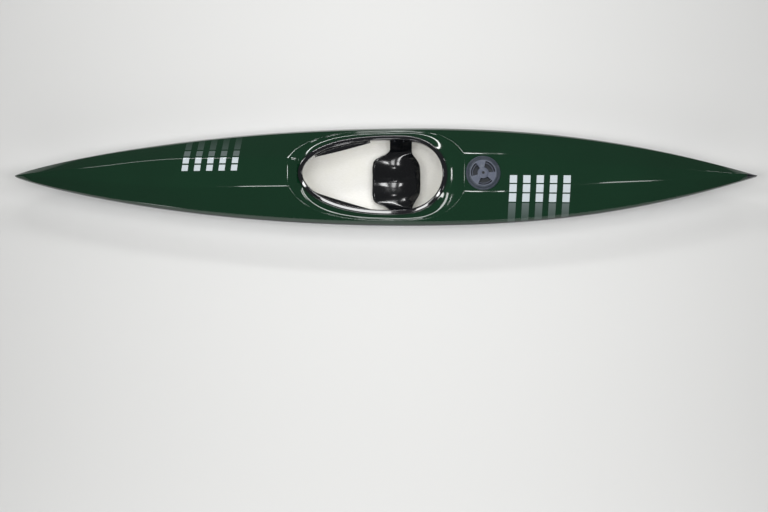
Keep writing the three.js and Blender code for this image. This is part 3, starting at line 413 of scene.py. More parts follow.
# %% Gelcoat, moulded plastic and bare laminate
hull_white = gelcoat("hull_white", (0.84, 0.86, 0.9), 0.1, 0.04, coat=0.3, wear_height=0.09)
band_black = gelcoat("band_black", (0.004, 0.005, 0.009), 0.08, 0.05)
rim_black = gelcoat("rim_black", (0.004, 0.0045, 0.006), 0.06, 0.05, coat=1.0)
seat_black = gelcoat("seat_black", (0.0025, 0.003, 0.004), 0.16, 0.08, coat=0.6, coat_roughness=0.09)
ring_slate = moulded("ring_slate", (0.022, 0.03, 0.044), (0.042, 0.052, 0.066), 0.42)
lid_slate = moulded("lid_slate", (0.078, 0.09, 0.125), (0.11, 0.125, 0.155), 0.4)
# Painted shade: the lid's own slate made much darker for the floors and walls of its deep finger pockets.
pocket_slate = moulded("pocket_slate", (0.014, 0.018, 0.024), (0.03, 0.035, 0.04), 0.5)
fitting_black = moulded("fitting_black", (0.012, 0.012, 0.014), (0.05, 0.048, 0.045), 0.45)
seal_rubber = moulded("seal_rubber", (0.008, 0.008, 0.009), (0.03, 0.03, 0.03), 0.75, 1500.0, 0.2)
foam_cream = moulded("foam_cream", (0.68, 0.64, 0.52), (0.75, 0.72, 0.62), 0.9, 500.0, 0.8)
inner_laminate = laminate("inner_laminate", (0.86, 0.85, 0.81), (0.95, 0.945, 0.92),
                          (0.88, 0.87, 0.79), 1.0)
bulkhead_laminate = laminate("bulkhead_laminate", (0.72, 0.7, 0.62), (0.86, 0.84, 0.78),
                             (0.78, 0.74, 0.62), 1.4)
print("gelcoat, moulded and laminate finishes ready")

# %% Steel
mark_scale, blotch_scale = (900.0, 900.0, 260.0), 260.0
mark_levels, mark_strength, mark_height = (0.3, 0.7), 0.1, 0.0002


def make_steel(name, dark, light, rough):
    """Steel with fine turning marks. Its roughness runs between two values."""
    material, tree, shader = new_material(name, {"Metallic": 1.0})
    place = own_place(tree)
    marks = streaks(tree, place, mark_scale, 0.0, detail=3.0, roughness=0.6)
    connect(tree, shader, {
        "Base Color": mix_colour(tree, noise(tree, place, blotch_scale, 3.0), (*dark, 1), (*light, 1)),
        "Roughness": map_range(tree, marks, *mark_levels, *rough),
        "Normal": bump(tree, mark_strength, mark_height, marks),
    })
    return material


steel = make_steel("stainless_steel", (0.5, 0.51, 0.52), (0.68, 0.69, 0.7), (0.22, 0.38))
dark_steel = make_steel("blackened_steel", (0.05, 0.055, 0.065), (0.09, 0.095, 0.11), (0.35, 0.5))
print("two steels ready")

# %% [markdown]
# Green deck with graded bars.
# Two rows of five slanted bars decorate the deck, one ahead of the cockpit to starboard and one
# behind it to port: bright blocks at the inner end, then a fade towards the band. They could be thin
# meshes laid on the deck. Here the material draws them from the piece's own coordinates, as paint is
# masked on a real deck, so they follow its curve and never lift off.

# %% Deck paint
bar_paint = (0.5, 0.55, 0.58, 1)


def make_bar_group():
    """Five slanted bars across a stretch of deck, as one mask from 0 to 1."""
    group, given, result = new_group(
        "graded_bars", "ShaderNodeTree",
        {"Start": 0.0, "Pitch": 0.075, "Count": 5.0, "Bar Share": 0.7, "Side": 1.0, "Slant": 0.12,
         "Inner End": 0.012, "Block Pitch": 0.055, "Block Share": 0.86, "Bright End": 0.17,
         "Blocks End": 0.17, "Late Level": 0.5, "Fade End": 0.26, "Fade Level": 0.3},
        {"Paint": "Float"},
    )

    def work(operation, *values):
        return math_node(group, operation, *values)

    place = own_place(group)
    out = work("MULTIPLY", axis_of(group, place, 1), given["Side"])
    lean = work("MULTIPLY", out, given["Slant"])
    along = work("SUBTRACT", axis_of(group, place, 0), lean, given["Start"])
    bar = work("DIVIDE", along, given["Pitch"])
    in_bar = work("LESS_THAN", work("FRACT", bar), given["Bar Share"])
    run = work("SUBTRACT", out, given["Inner End"])
    block_run = work("FRACT", work("DIVIDE", run, given["Block Pitch"]))
    level = work("MAXIMUM", work("LESS_THAN", out, given["Bright End"]), given["Late Level"])
    before_fade = work("LESS_THAN", out, given["Blocks End"])
    block = work("MULTIPLY", work("LESS_THAN", block_run, given["Block Share"]), level, before_fade)
    fade_length = work("SUBTRACT", given["Fade End"], given["Blocks End"])
    fade = work("DIVIDE", work("SUBTRACT", given["Fade End"], out), fade_length)
    fade = work("MULTIPLY", map_range(group, fade, 0.0, 1.0), given["Fade Level"],
                work("SUBTRACT", 1.0, before_fade))
    started = work("GREATER_THAN", run, 0.0)
    in_row = work("MULTIPLY", work("GREATER_THAN", bar, 0.0), work("LESS_THAN", bar, given["Count"]))
    mask = work("MULTIPLY", in_bar, started, in_row, work("MAXIMUM", block, fade))
    connect(group, result, {"Paint": mask})
    return group


bar_group = make_bar_group()
bar_rows = {
    "fore_row": {"Start": -1.235, "Pitch": 0.0745, "Bar Share": 0.5, "Side": 1.0,
                 "Block Pitch": 0.046, "Block Share": 0.8, "Bright End": 0.1, "Blocks End": 0.15,
                 "Late Level": 0.2, "Fade End": 0.26, "Fade Level": 0.08},
    "aft_row": {"Start": 0.748, "Pitch": 0.081, "Bar Share": 0.54, "Side": -1.0, "Slant": -0.05,
                "Bright End": 0.175, "Blocks End": 0.176, "Fade End": 0.33, "Fade Level": 0.2},
}


def paint_bars(tree, base):
    rows = [add_node(tree, "ShaderNodeGroup", values, node_tree=bar_group).outputs["Paint"]
            for values in bar_rows.values()]
    return mix_colour(tree, math_node(tree, "MAXIMUM", *rows), base, bar_paint)


deck_green = gelcoat("deck_green", (0.0033, 0.024, 0.0101), 0.07, 0.03, coat=0.35, wear_height=0.01,
                     paint=paint_bars)
print("deck paint with", len(bar_rows), "rows of bars")

# %% [markdown]
# The floor. The boat stands on a plain pale floor that catches its soft shadow. A curved backdrop
# could be modelled as well, but a wide flat plane looks the same from above.

# %% Studio floor
floor_half = 30.0
floor_colour, floor_roughness = (0.66, 0.66, 0.65, 1), 0.7

floor_mesh = bpy.data.meshes.new("floor")
floor_corners = [(x * floor_half, y * floor_half, 0) for x, y in ((-1, -1), (1, -1), (1, 1), (-1, 1))]
floor_mesh.from_pydata(floor_corners, [], [(0, 1, 2, 3)])
floor_look = {"Base Color": floor_colour, "Roughness": floor_roughness}
floor_mesh.materials.append(new_material("floor", floor_look)[0])
add_object("floor", floor_mesh)
print(f"floor {2 * floor_half:.0f} m wide")

# %% [markdown]
# The boat's lines.
# A boat is drawn as a few long curves: the keel, the two edges of the band, the deck's middle line
# and the edge of its raised panel. Each curve here goes through a short table of shares along the
# half length, without overshooting between its points. Every later mesh asks these curves for its
# places, so hull, band, deck and recess meet exactly.

# %% Lines of the boat
half_length = boat_length / 2
half_beam = 0.302
beam_share = 0.53
beam_station = -half_length + beam_share * boat_length
highest_station = -0.58
nose_half = 0.002
skin = 0.004
gap = 0.0003
stem_height = 0.174
seam_edge_height = 0.143
deck_height = 0.32
band_height, band_tip_height = 0.045, 0.027
band_bulge, band_thickness = 0.004, 0.0015
plateau_half = 0.115
bow_plan_powers, stern_plan_powers = (2, 0.85), (2.3, 1.02)

keel_shares = [
    (-1, 1), (-0.987, 0.82), (-0.967, 0.65), (-0.942, 0.517), (-0.907, 0.408), (-0.839, 0.31),
    (-0.737, 0.247), (-0.609, 0.17), (-0.48, 0.092), (-0.351, 0.036), (-0.222, 0), (0.12, 0),
    (0.247, 0.05), (0.418, 0.115), (0.606, 0.195), (0.84, 0.42), (0.921, 0.552), (0.951, 0.626),
    (0.974, 0.724), (0.991, 0.856), (1, 1),
]
seam_rise_shares = [
    (-1, 1), (-0.867, 0.774), (-0.737, 0.53), (-0.609, 0.24), (-0.351, 0.065), (0, 0),
    (0.162, 0.14), (0.591, 0.25), (0.719, 0.46), (0.847, 0.7), (1, 1.08),
]
band_taper_shares = [(-1, 1), (-0.9, 0.8), (-0.5, 0.25), (0, 0), (0.5, 0.2), (0.9, 0.8), (1, 1)]
deck_shares = [
    (-1, 0.072), (-0.978, 0.236), (-0.839, 0.484), (-0.737, 0.556), (-0.582, 0.704),
    (-0.437, 0.831), (-0.276, 0.979), (-0.258, 1), (0, 0.925), (0.218, 0.79), (0.311, 0.696),
    (0.508, 0.626), (0.609, 0.575), (0.746, 0.462), (0.838, 0.379), (0.929, 0.312),
    (0.988, 0.217), (1, 0.14),
]
plateau_shares = [
    (-1, 0), (-0.821, 0.3), (-0.544, 0.765), (-0.264, 0.76), (0, 0.88), (0.21, 1), (0.311, 0.97),
    (0.367, 0.84), (0.567, 0.5), (0.749, 0.32), (1, 0),
]


def curve_through(table, scale):
    """A smooth curve over the boat's length that never overshoots between the table's points."""
    places, values = np.array(table, float).T
    runs = np.diff(places)
    rates = np.diff(values) / runs
    slopes = np.zeros(len(places))
    product = rates[:-1] * rates[1:]
    total = np.where(product > 0, rates[:-1] + rates[1:], 1)
    slopes[1:-1] = np.where(product > 0, 2 * product / total, 0)
    slopes[0], slopes[-1] = rates[0], rates[-1]

    def curve(x):
        share = np.clip(np.asarray(x, float) / half_length, -1, 1)
        i = np.clip(np.searchsorted(places, share, side="right") - 1, 0, len(runs) - 1)
        t = (share - places[i]) / runs[i]
        rise = values[i + 1] - values[i]
        start, end = slopes[i] * runs[i], slopes[i + 1] * runs[i]
        cubic = start + end - 2 * rise
        square = 3 * rise - 2 * start - end
        return scale * (values[i] + t * (start + t * (square + t * cubic)))

    return curve


tip_top_height = stem_height + band_tip_height
keel_z = curve_through(keel_shares, stem_height)
seam_rise = curve_through(seam_rise_shares, stem_height - seam_edge_height)
band_loss = curve_through(band_taper_shares, band_height - band_tip_height)
deck_rise = curve_through(deck_shares, deck_height - tip_top_height)
plateau_y = curve_through(plateau_shares, plateau_half)


def band_bottom(x):
    return seam_edge_height + seam_rise(x)


def band_top(x):
    return band_bottom(x) + band_height - band_loss(x)


def seam_z(x):
    return (band_bottom(x) + band_top(x)) / 2


def half_breadth(x):
    """Half breadth at the middle of the band."""
    x = np.asarray(x, float)
    forward = x < beam_station
    run = np.where(forward, beam_station + half_length, half_length - beam_station)
    t = np.minimum(np.abs(x - beam_station) / run, 1)
    bow, stern = [(1 - t ** inner) ** outer for inner, outer in (bow_plan_powers, stern_plan_powers)]
    return nose_half + (half_beam - nose_half) * np.where(forward, bow, stern)


def breadth_share(x):
    return half_breadth(x) / half_beam


def band_edge_half(x):
    return half_breadth(x) - band_bulge * breadth_share(x)


def core_half(x):
    """Half width behind the band, where hull and deck meet."""
    return np.maximum(band_edge_half(x) - band_thickness - gap, nose_half / 2)


highest = tip_top_height + deck_rise(highest_station)
print(f"beam {2 * half_breadth(beam_station):.3f} m, deck top {highest:.3f} m")

# %% [markdown]
# The deck as a height over a place.
# The deck has three faces on each side: a steep strip above the band, a rounded shoulder, and a
# nearly flat raised panel. Each face is a simple height. The lowest of the three at a place is the
# deck, as on a roof. A soft minimum rounds the creases where two faces meet, and those roundings are
# what draws thin highlights on the real boat.

# %% Deck height
plateau_crown = 0.002
crease_in_share, crease_rise_share = 0.0433, 0.19
shoulder_bulge_share = 0.12
gunwale_rounding, ridge_rounding = 0.004, 0.005


def soft_min(a, b, rounding):
    overlap = np.maximum(rounding - np.abs(a - b), 0) / rounding
    return np.minimum(a, b) - overlap ** 2 * rounding / 4


def deck_creases(x):
    """Half widths of the deck's edge, its gunwale crease and its ridge."""
    edge = band_edge_half(x)
    crease = edge * (1 - crease_in_share)
    return edge, crease, np.minimum(plateau_y(x), crease / 2)


def deck_z(x, y):
    x = np.asarray(x, float)
    y = np.abs(np.asarray(y, float))
    edge, crease, ridge = deck_creases(x)
    bottom = band_top(x)
    middle = tip_top_height + deck_rise(x)
    rise = middle - bottom
    scale = breadth_share(x)
    crease_z = bottom + rise * crease_rise_share
    ridge_z = middle - plateau_crown * scale
    side = bottom + (edge - y) * (crease_z - bottom) / (edge - crease)
    u = (crease - y) / (crease - ridge)
    shoulder = crease_z + (ridge_z - crease_z) * u + shoulder_bulge_share * rise * u * (1 - u)
    crown = middle - (middle - ridge_z) * (y / np.maximum(ridge, gap)) ** 2
    crown = np.where(y > 2 * ridge + gap, middle, crown)
    upper = soft_min(shoulder, crown, ridge_rounding * scale)
    return soft_min(side, upper, gunwale_rounding * scale)


print(f"deck at the beam's ridge: {deck_z(beam_station, plateau_half):.3f} m high")

# %% [markdown]
# Recess and coaming in plan.
# The recess is a rounded outline with straight ends, and the coaming is an egg-shaped ring inside it.
# Both are the same kind of curve, a circle whose cosine is bent by a power. A power above 2 makes the
# curve fuller towards its ends.

# %% Recess and coaming outlines
coaming_front, coaming_rear, coaming_middle = -0.531, 0.369, 0.06
coaming_width = 0.49
coaming_power = 2.4
rim_low_station = -0.02
rim_shares = {"low": 0.4091, "front": 0.8864, "rear": 0.7576}
recess_front, recess_rear, recess_middle = -0.588, 0.47, 0.04
recess_runs = (0.655, 0.455)
recess_powers = (2.74, 3.2)
recess_width = 0.558
direction_step = 0.004


def bent_cosine(angle, middle, runs, powers):
    """Stations round an outline. Runs and powers hold for its front and its rear."""
    c = np.cos(angle)
    run, power = [np.where(c < 0, front, rear) for front, rear in (runs, powers)]
    return middle + np.sign(c) * run * np.abs(c) ** (2 / power)


def coaming_edge(angle):
    """Outer edge of the coaming in plan."""
    runs = (coaming_middle - coaming_front, coaming_rear - coaming_middle)
    x = bent_cosine(angle, coaming_middle, runs, (coaming_power, coaming_power))
    return np.stack([x, coaming_width / 2 * np.sin(angle)], -1)


def coaming_place(angle, inward):
    """Place in plan a distance in from the coaming's outer edge."""
    along = coaming_edge(angle + direction_step) - coaming_edge(angle - direction_step)
    along = along / np.linalg.norm(along, axis=-1, keepdims=True)
    normal = np.stack([-along[..., 1], along[..., 0]], -1)
    return coaming_edge(angle) + normal * inward


def height_at_share(share):
    seam_top = seam_edge_height + band_height
    return seam_top + share * (deck_height - seam_top)


def rim_z(x):
    x = np.asarray(x, float)
    forward = x < rim_low_station
    low, front, rear = [height_at_share(rim_shares[part]) for part in ("low", "front", "rear")]
    end = np.where(forward, coaming_front, coaming_rear)
    top = np.where(forward, front, rear)
    return low + (top - low) * ((x - rim_low_station) / (end - rim_low_station)) ** 2


def recess_edge(angle):
    x = bent_cosine(angle, recess_middle, recess_runs, recess_powers)
    return np.stack([np.clip(x, recess_front, recess_rear), recess_width / 2 * np.sin(angle)], -1)


def recess_blend(angle, values):
    """A value round the recess that goes from its front over its sides to its rear."""
    front, side, rear = values
    c = np.cos(angle)
    return side + (np.where(c < 0, front, rear) - side) * c ** 4


print(f"coaming {coaming_rear - coaming_front:.2f} x {coaming_width:.2f} m")

# %% [markdown]
# Mesh helpers.
# A laminate is a thin wall, so each shell starts as its outer face only: a grid of points that is
# welded along its seams. A copy of that face, moved in along its own normals, gives the inner face,
# and a strip round every open edge closes the wall. Doing this in one helper gives hull, deck and
# seat clean closed walls, with the inner face as a second material.

# %% Mesh helpers
weld_distance = 1e-6
most_reach = 0.4
port_side = np.array([1, -1, 1])


def points_at(x, y, z):
    """Points from coordinates that are spread to a common shape."""
    return np.stack(np.broadcast_arrays(x, y, z), -1)


def grid_mesh(bm, points, wrap=False):
    """Adds a grid of points, rows by columns, to a bmesh, as quads."""
    rows, columns = points.shape[:2]
    verts = [[bm.verts.new(point) for point in row] for row in points.tolist()]
    for i in range(rows if wrap else rows - 1):
        here, there = verts[i], verts[(i + 1) % rows]
        for j in range(columns - 1):
            bm.faces.new((here[j], here[j + 1], there[j + 1], there[j]))


def weld(bm, distance=weld_distance):
    bmesh.ops.remove_doubles(bm, verts=bm.verts, dist=distance)
    bmesh.ops.dissolve_degenerate(bm, edges=bm.edges, dist=distance)
    bmesh.ops.recalc_face_normals(bm, faces=bm.faces)


def both_halves_skin(grids, middle_height, distance=weld_distance):
    """A skin from grids and their mirror images, which looks away from a line inside it."""
    bm = bmesh.new()
    for grid in grids:
        grid_mesh(bm, grid)
        grid_mesh(bm, grid * port_side)
    weld(bm, distance)
    away = 0.0
    for face in bm.faces:
        _, y, z = face.calc_center_median()
        away += Vector((0, y, z - middle_height)).dot(face.normal) * face.calc_area()
    if away < 0:
        bmesh.ops.reverse_faces(bm, faces=bm.faces)
    print(f"skin of {len(bm.faces)} faces")
    return bm


def thicken(bm, depth_at):
    """Closes an open skin into a wall. The inner face and the edges get material 1."""
    bm.normal_update()
    bm.verts.index_update()
    outer = list(bm.verts)
    faces = list(bm.faces)
    rims = [(loop.vert, loop.link_loop_next.vert) for f in faces for loop in f.loops
            if loop.edge.is_boundary]
    inner = [bm.verts.new(v.co - v.normal * depth_at(v.co)) for v in outer]
    for f in faces:
        copy = bm.faces.new([inner[v.index] for v in reversed(f.verts)])
        copy.material_index = 1
    for a, b in rims:
        strip = bm.faces.new((b, a, inner[a.index], inner[b.index]))
        strip.material_index = 1


def make_object(name, bm, sharp_degrees=35):
    """A smooth object from a bmesh, with its edges sharp where they turn by more than an angle."""
    mesh = bpy.data.meshes.new(name)
    bm.to_mesh(mesh)
    bm.free()
    mesh.shade_smooth()
    mesh.set_sharp_from_angle(angle=math.radians(sharp_degrees))
    return add_object(name, mesh)


def break_edges(piece, width, segments, degrees, harden=False):
    """A Bevel modifier on the edges that turn by more than an angle."""
    bevel = piece.modifiers.new("broken_edges", "BEVEL")
    bevel.width = width
    bevel.segments = segments
    bevel.limit_method = "ANGLE"
    bevel.angle_limit = math.radians(degrees)
    bevel.harden_normals = harden
    return piece


def plain_mesh(piece):
    """Keeps a piece's evaluated shape as its own mesh, and drops its modifiers."""
    depsgraph = bpy.context.evaluated_depsgraph_get()
    mesh = bpy.data.meshes.new_from_object(piece.evaluated_get(depsgraph))
    piece.modifiers.clear()
    piece.data = mesh
    mesh.name = piece.name


def dress(piece, materials, body, nodes):
    """Gives a piece its materials, its body and the construction nodes it replaces."""
    for material in materials:
        piece.data.materials.append(material)
    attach(piece, body)
    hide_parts(*nodes)
    piece.data.update()
    print(f"{piece.name}: {len(piece.data.polygons)} faces")


def shares_for(points, count):
    """Shares from 0 to 1 in a shape that multiplies an array of points."""
    return np.linspace(0, 1, count).reshape((-1,) + (1,) * np.ndim(points))


def bezier_corner(start, corner, end, count):
    """Points round a corner, from start to end, along a curve drawn to the corner."""
    t = shares_for(start, count)
    return (1 - t) ** 2 * start + 2 * t * (1 - t) * corner + t ** 2 * end


def straight(start, end, count):
    return start + (end - start) * shares_for(start, count)


def towards(start, end, distance):
    """A point a distance from start towards end, but never more than a share of the way."""
    run = end - start
    length = np.linalg.norm(run, axis=-1, keepdims=True)
    return start + run * np.minimum(distance / np.maximum(length, gap), most_reach)


def arc(middle_a, middle_b, radius, start, end, count):
    """Places along an arc between two angles in degrees. Its sizes may be numbers or arrays."""
    return [(middle_a + radius * math.cos(angle), middle_b + radius * math.sin(angle))
            for angle in np.radians(np.linspace(start, end, count))]


print("mesh helpers ready")

# %% [markdown]
# The hull.
# The hull's section is a flat keel that curves up to the band. The curve is a superellipse: a circle
# whose sine and cosine are bent by a power, round amidships and sharper at the ends, where the
# section turns into a V. Behind the band the shell steps in by the band's thickness, up to the seam,
# so the band covers the joint as on the real boat.

# %% Hull shell
hull_station_count, hull_curve_count = 300, 22
tip_setback = 0.0005
tip_end = half_length - tip_setback
keel_flat_half = 0.06
tip_section_power, middle_section_power = 1.4, 2.3
crowding = 0.55
tip_wall_share = 0.35


def hull_stations(start, end, count):
    """Stations along the boat, closer together near both tips."""
    even = np.linspace(-1, 1, count)
    crowded = -np.cos(np.linspace(0, math.pi, count))
    share = even * (1 - crowding) + crowded * crowding
    return start + (end - start) * (share + 1) / 2


def hull_section(x):
    top = band_bottom(x)
    bottom = np.minimum(keel_z(x), top - nose_half)
    edge = band_edge_half(x)
    share = breadth_share(x)
    flat = np.minimum(keel_flat_half * share ** 2, edge / 2)
    power = 2 / (tip_section_power + (middle_section_power - tip_section_power) * share)
    return top, bottom, edge, flat, power


def hull_half_at(x, z):
    """Half width of the hull's outer face at a height."""
    top, bottom, edge, flat, power = hull_section(x)
    cosine = np.clip((top - z) / (top - bottom), 0, 1) ** (1 / power)
    return flat + (edge - flat) * np.sqrt(1 - cosine ** 2) ** power


def hull_half(x):
    """Outer half section at each station, from the keel line out and up to the seam."""
    top, bottom, edge, flat, power = hull_section(x)
    angle = np.linspace(0, math.pi / 2, hull_curve_count)[None, :]
    cosine = np.cos(angle)
    cosine[:, -1] = 0
    out = flat + (edge - flat) * np.sin(angle) ** power
    up = top - (top - bottom) * cosine ** power
    y = np.concatenate([0 * flat, flat / 2, out, core_half(x), core_half(x)], 1)
    z = np.concatenate([bottom, bottom, up, top, seam_z(x) - gap / 2], 1)
    return points_at(x, y, z)


def wall_depth(point):
    return min(skin, tip_wall_share * float(half_breadth(point.x)))


hull_points = hull_half(hull_stations(-tip_end, tip_end, hull_station_count)[:, None])
hull_bm = both_halves_skin([hull_points], stem_height)
thicken(hull_bm, wall_depth)
dress(make_object("hull_moulding", hull_bm), [hull_white, inner_laminate], "boat",
      ["hull_shell"])

# %% [markdown]
# The deck and its recess.
# The deck outside the recess is a grid over its height formula. The sunk tray is a second grid that
# runs round the cockpit. They could be two meshes laid together, but then the rim between them
# would be a hard line. Here the deck's stations are taken from the tray's own angles, so that both
# grids share the points of the rim, and a rounding of 2.5 to 12 mm runs across it.

# %% Deck outline points
inner_even_count, inner_dense_count = 8, 4
side_station_count = 130
ridge_zone, widest_zone_share = 0.005, 0.3
rim_roundings = (0.012, 0.0025, 0.005)


def recess_angle(x):
    """Angle round the recess whose starboard edge is at a station."""
    ends = zip((recess_middle - x, x - recess_middle), recess_runs, recess_powers)
    front, rear = [(np.maximum(away, 0) / run) ** (power / 2) for away, run, power in ends]
    return np.where(x < recess_middle, math.pi - np.arccos(front), np.arccos(rear))


def inner_shares(width):
    """Columns from the middle line out to a width, dense in the last stretch, where the ridge is."""
    zone = np.minimum(2 * ridge_zone, widest_zone_share * width) / width
    even = np.linspace(0, 1, inner_even_count + 1)[:-1] * (1 - zone)
    return np.concatenate([even, 1 - zone * np.linspace(1, 0, inner_dense_count + 1)])


def deck_points(x, y):
    return points_at(x, y, deck_z(x, y))


front_sines, rear_sines = [
    inner_shares(recess_width / 2 * sine) * sine
    for sine in np.sin(recess_angle(np.array([recess_front, recess_rear])))
]
side_x = hull_stations(recess_front, recess_rear, side_station_count)
ring_angle = np.concatenate([
    math.pi - np.arcsin(front_sines), recess_angle(side_x[1:-1]), np.arcsin(rear_sines)[::-1],
])
front_count, rear_count = len(front_sines), len(rear_sines)

rim_edge = recess_edge(ring_angle)
rim_inward = coaming_edge(ring_angle) - rim_edge
rim_inward /= np.linalg.norm(rim_inward, axis=-1, keepdims=True)
rim_rounding = recess_blend(ring_angle, rim_roundings)[:, None]
rim_lip = rim_edge - rim_inward * rim_rounding
rim_lip[0, 1] = rim_lip[-1, 1] = 0
rim_lip = deck_points(*rim_lip.T)
print(f"{len(ring_angle)} places round half the recess")

# %% Deck grids
fore_station_count, aft_station_count = 120, 120
outer_even_count, crease_count, strip_count = 14, 6, 4
crease_zone_share = 0.2
widest_middle_share = 0.6
rear_blend_length = 0.04
stern_cap_length = 0.064
stern_cap_station = half_length - stern_cap_length
deck_stern_end = stern_cap_station - gap


def smoothstep(value, low, high):
    t = np.clip((value - low) / (high - low), 0, 1)
    return t * t * (3 - 2 * t)


def outer_columns(x, start):
    """Half deck from a starting width out to the gunwale crease and down to the seam."""
    edge, crease, _ = deck_creases(x)
    zone = crease_zone_share * (edge - crease)
    even = start + (crease - zone - start) * np.linspace(0, 1, outer_even_count + 1)[:-1, None]
    round_part = crease - zone + 2 * zone * np.linspace(0, 1, crease_count)[:-1, None]
    side_part = crease + zone + (edge - crease - zone) * np.linspace(0, 1, strip_count)[:, None]
    top = deck_points(x[:, None], np.concatenate([even, round_part, side_part]).T)
    top[:, -1, 2] = band_top(x)
    behind_band = [points_at(x, core_half(x), height)[:, None]
                   for height in (band_top(x), seam_z(x) + gap / 2)]
    return np.concatenate([top, *behind_band], 1)


def middle_columns(x, width):
    """Half deck from the middle line out to a width."""
    shares = np.array([inner_shares(w) for w in width])
    return deck_points(x[:, None], shares * width[:, None])


fore_x = hull_stations(-tip_end, 2 * rim_lip[0, 0] + tip_end, 2 * fore_station_count)
fore_x = fore_x[:fore_station_count]
aft_x = straight(rim_lip[-1, 0], deck_stern_end, aft_station_count)[1:]
blend = smoothstep(aft_x, rim_lip[-1, 0], rim_lip[-1, 0] + rear_blend_length)
rear_corner_half = rim_lip[-rear_count, 1]
fore_width = plateau_y(fore_x) + ridge_zone
aft_width = rear_corner_half + (plateau_y(aft_x) + ridge_zone - rear_corner_half) * blend
fore_width, aft_width = [np.minimum(width, widest_middle_share * band_edge_half(x))
                         for width, x in ((fore_width, fore_x), (aft_width, aft_x))]

side_lip = rim_lip[front_count - 1:len(rim_lip) - rear_count + 1]
all_x = np.concatenate([fore_x, side_lip[:, 0], aft_x])
deck_outer = outer_columns(all_x, np.concatenate([fore_width, side_lip[:, 1], aft_width]))
deck_fore = np.concatenate([middle_columns(fore_x, fore_width), rim_lip[None, :front_count]])
deck_aft = np.concatenate([rim_lip[None, :-rear_count - 1:-1], middle_columns(aft_x, aft_width)])
deck_fore[:, -1] = deck_outer[:len(fore_x) + 1, 0]
deck_aft[:, -1] = deck_outer[len(all_x) - len(aft_x) - 1:, 0]
print(f"deck grid {deck_outer.shape[0]} by {deck_outer.shape[1]}")

# %% Tray between the rim and the cockpit opening
rim_riser = 0.02
web_inset, web_thickness, web_depth = 0.024, 0.004, 0.042
web_inner = web_inset + web_thickness
foot_rounding, base_rounding = 0.012, 0.005
dish_share = 0.12
wall_count, corner_count, dish_count, base_count, ledge_count = 4, 7, 8, 4, 3
recess_drops = (0.028, 0.0025, 0.018)
recess_slopes = (0.054, 0.008, 0.036)

rim_top = deck_points(*rim_edge.T)
foot_place = rim_edge + rim_inward * recess_blend(ring_angle, recess_slopes)[:, None]
foot = points_at(*foot_place.T, rim_top[:, 2] - recess_blend(ring_angle, recess_drops))
base_height = rim_z(coaming_edge(ring_angle)[:, 0]) - rim_riser
base = points_at(*coaming_edge(ring_angle).T, base_height)
opening = points_at(*coaming_place(ring_angle, web_inset - gap).T, base_height)
dish = (foot + base) / 2
dish[:, 2] -= dish_share * np.linalg.norm(base - foot, axis=-1)

wall_start, wall_end = towards(rim_top, foot, rim_rounding), towards(foot, rim_top, foot_rounding)
dish_start, dish_end = towards(foot, dish, foot_rounding), towards(base, dish, base_rounding)
ledge_start = towards(base, opening, base_rounding)
tray = np.concatenate([
    bezier_corner(rim_lip, rim_top, wall_start, corner_count),
    straight(wall_start, wall_end, wall_count)[1:-1],
    bezier_corner(wall_end, foot, dish_start, corner_count),
    bezier_corner(dish_start, dish, dish_end, dish_count)[1:-1],
    bezier_corner(dish_end, base, ledge_start, base_count),
    straight(ledge_start, opening, ledge_count)[1:],
])
tray[:, [0, -1], 1] = 0
print(f"tray grid {tray.shape[0]} by {tray.shape[1]}")

# %% Deck shell
below_deck = -1.0
deck_bm = both_halves_skin([deck_outer, deck_fore, deck_aft, tray], below_deck, 2 * weld_distance)
thicken(deck_bm, wall_depth)
deck = make_object("deck_moulding", deck_bm, 40)
dress(deck, [deck_green, inner_laminate], "boat", ["deck_shell"])

# %% [markdown]
# Band, end caps and skeg.
# The band hides the joint between the two mouldings. It is a long strip whose outer face bulges a
# little, so light runs along it as one line. A sweep suits it: one small section, computed again at
# every station from the boat's lines. The caps are the same section, closed across the tips, and the
# skeg is a sweep of a thin foil with a fillet at its root.

# %% Sweeps
def closed_sweep(name, sections, ring=False, sharp_degrees=35):
    """A closed body through closed sections. Its ends are filled, unless the row runs in a ring."""
    bm = bmesh.new()
    grid_mesh(bm, np.concatenate([sections, sections[:, :1]], 1), wrap=ring)
    bmesh.ops.remove_doubles(bm, verts=bm.verts, dist=weld_distance)
    if not ring:
        rims = [edge for edge in bm.edges if edge.is_boundary]
        bmesh.ops.holes_fill(bm, edges=rims, sides=0)
    weld(bm)
    return make_object(name, bm, sharp_degrees)


def two_sided(x, y, z):
    """Closed sections from their starboard halves, which end on the middle line and also start there."""
    y = np.concatenate([0 * y[:, :1], y], 1)
    z = np.concatenate([z[:, :1], z], 1)
    y = np.concatenate([y, -y[:, -2:0:-1]], 1)
    z = np.concatenate([z, z[:, -2:0:-1]], 1)
    return points_at(x[:, None], y, z)


print("sweep helpers ready")

# %% Band and caps
band_station_count, band_arc_count = 260, 11
band_edge_rounding, band_edge_power = 0.0008, 8
bow_cap_length = 0.028
bow_cap_station = -half_length + bow_cap_length
nose_rounding, nose_count, nose_first_share = 0.003, 8, 0.01
bow_cap_count, stern_cap_count, stern_top_count = 12, 22, 14
nose_steps = nose_rounding * np.linspace(nose_first_share, 1, nose_count)[:-1] ** 2


def band_arc(x):
    """Outer face of the band at each station, from its lower to its upper edge."""
    x = x[:, None]
    low, high = band_bottom(x) + gap, band_top(x) - gap
    edge, bulge = band_edge_half(x), half_breadth(x) - band_edge_half(x)
    t = np.linspace(-1, 1, band_arc_count)[None, :]
    rounding = band_edge_rounding * np.abs(t) ** band_edge_power * breadth_share(x)
    return edge + bulge * (1 - t ** 2) - rounding, (low + high) / 2 + (high - low) / 2 * t


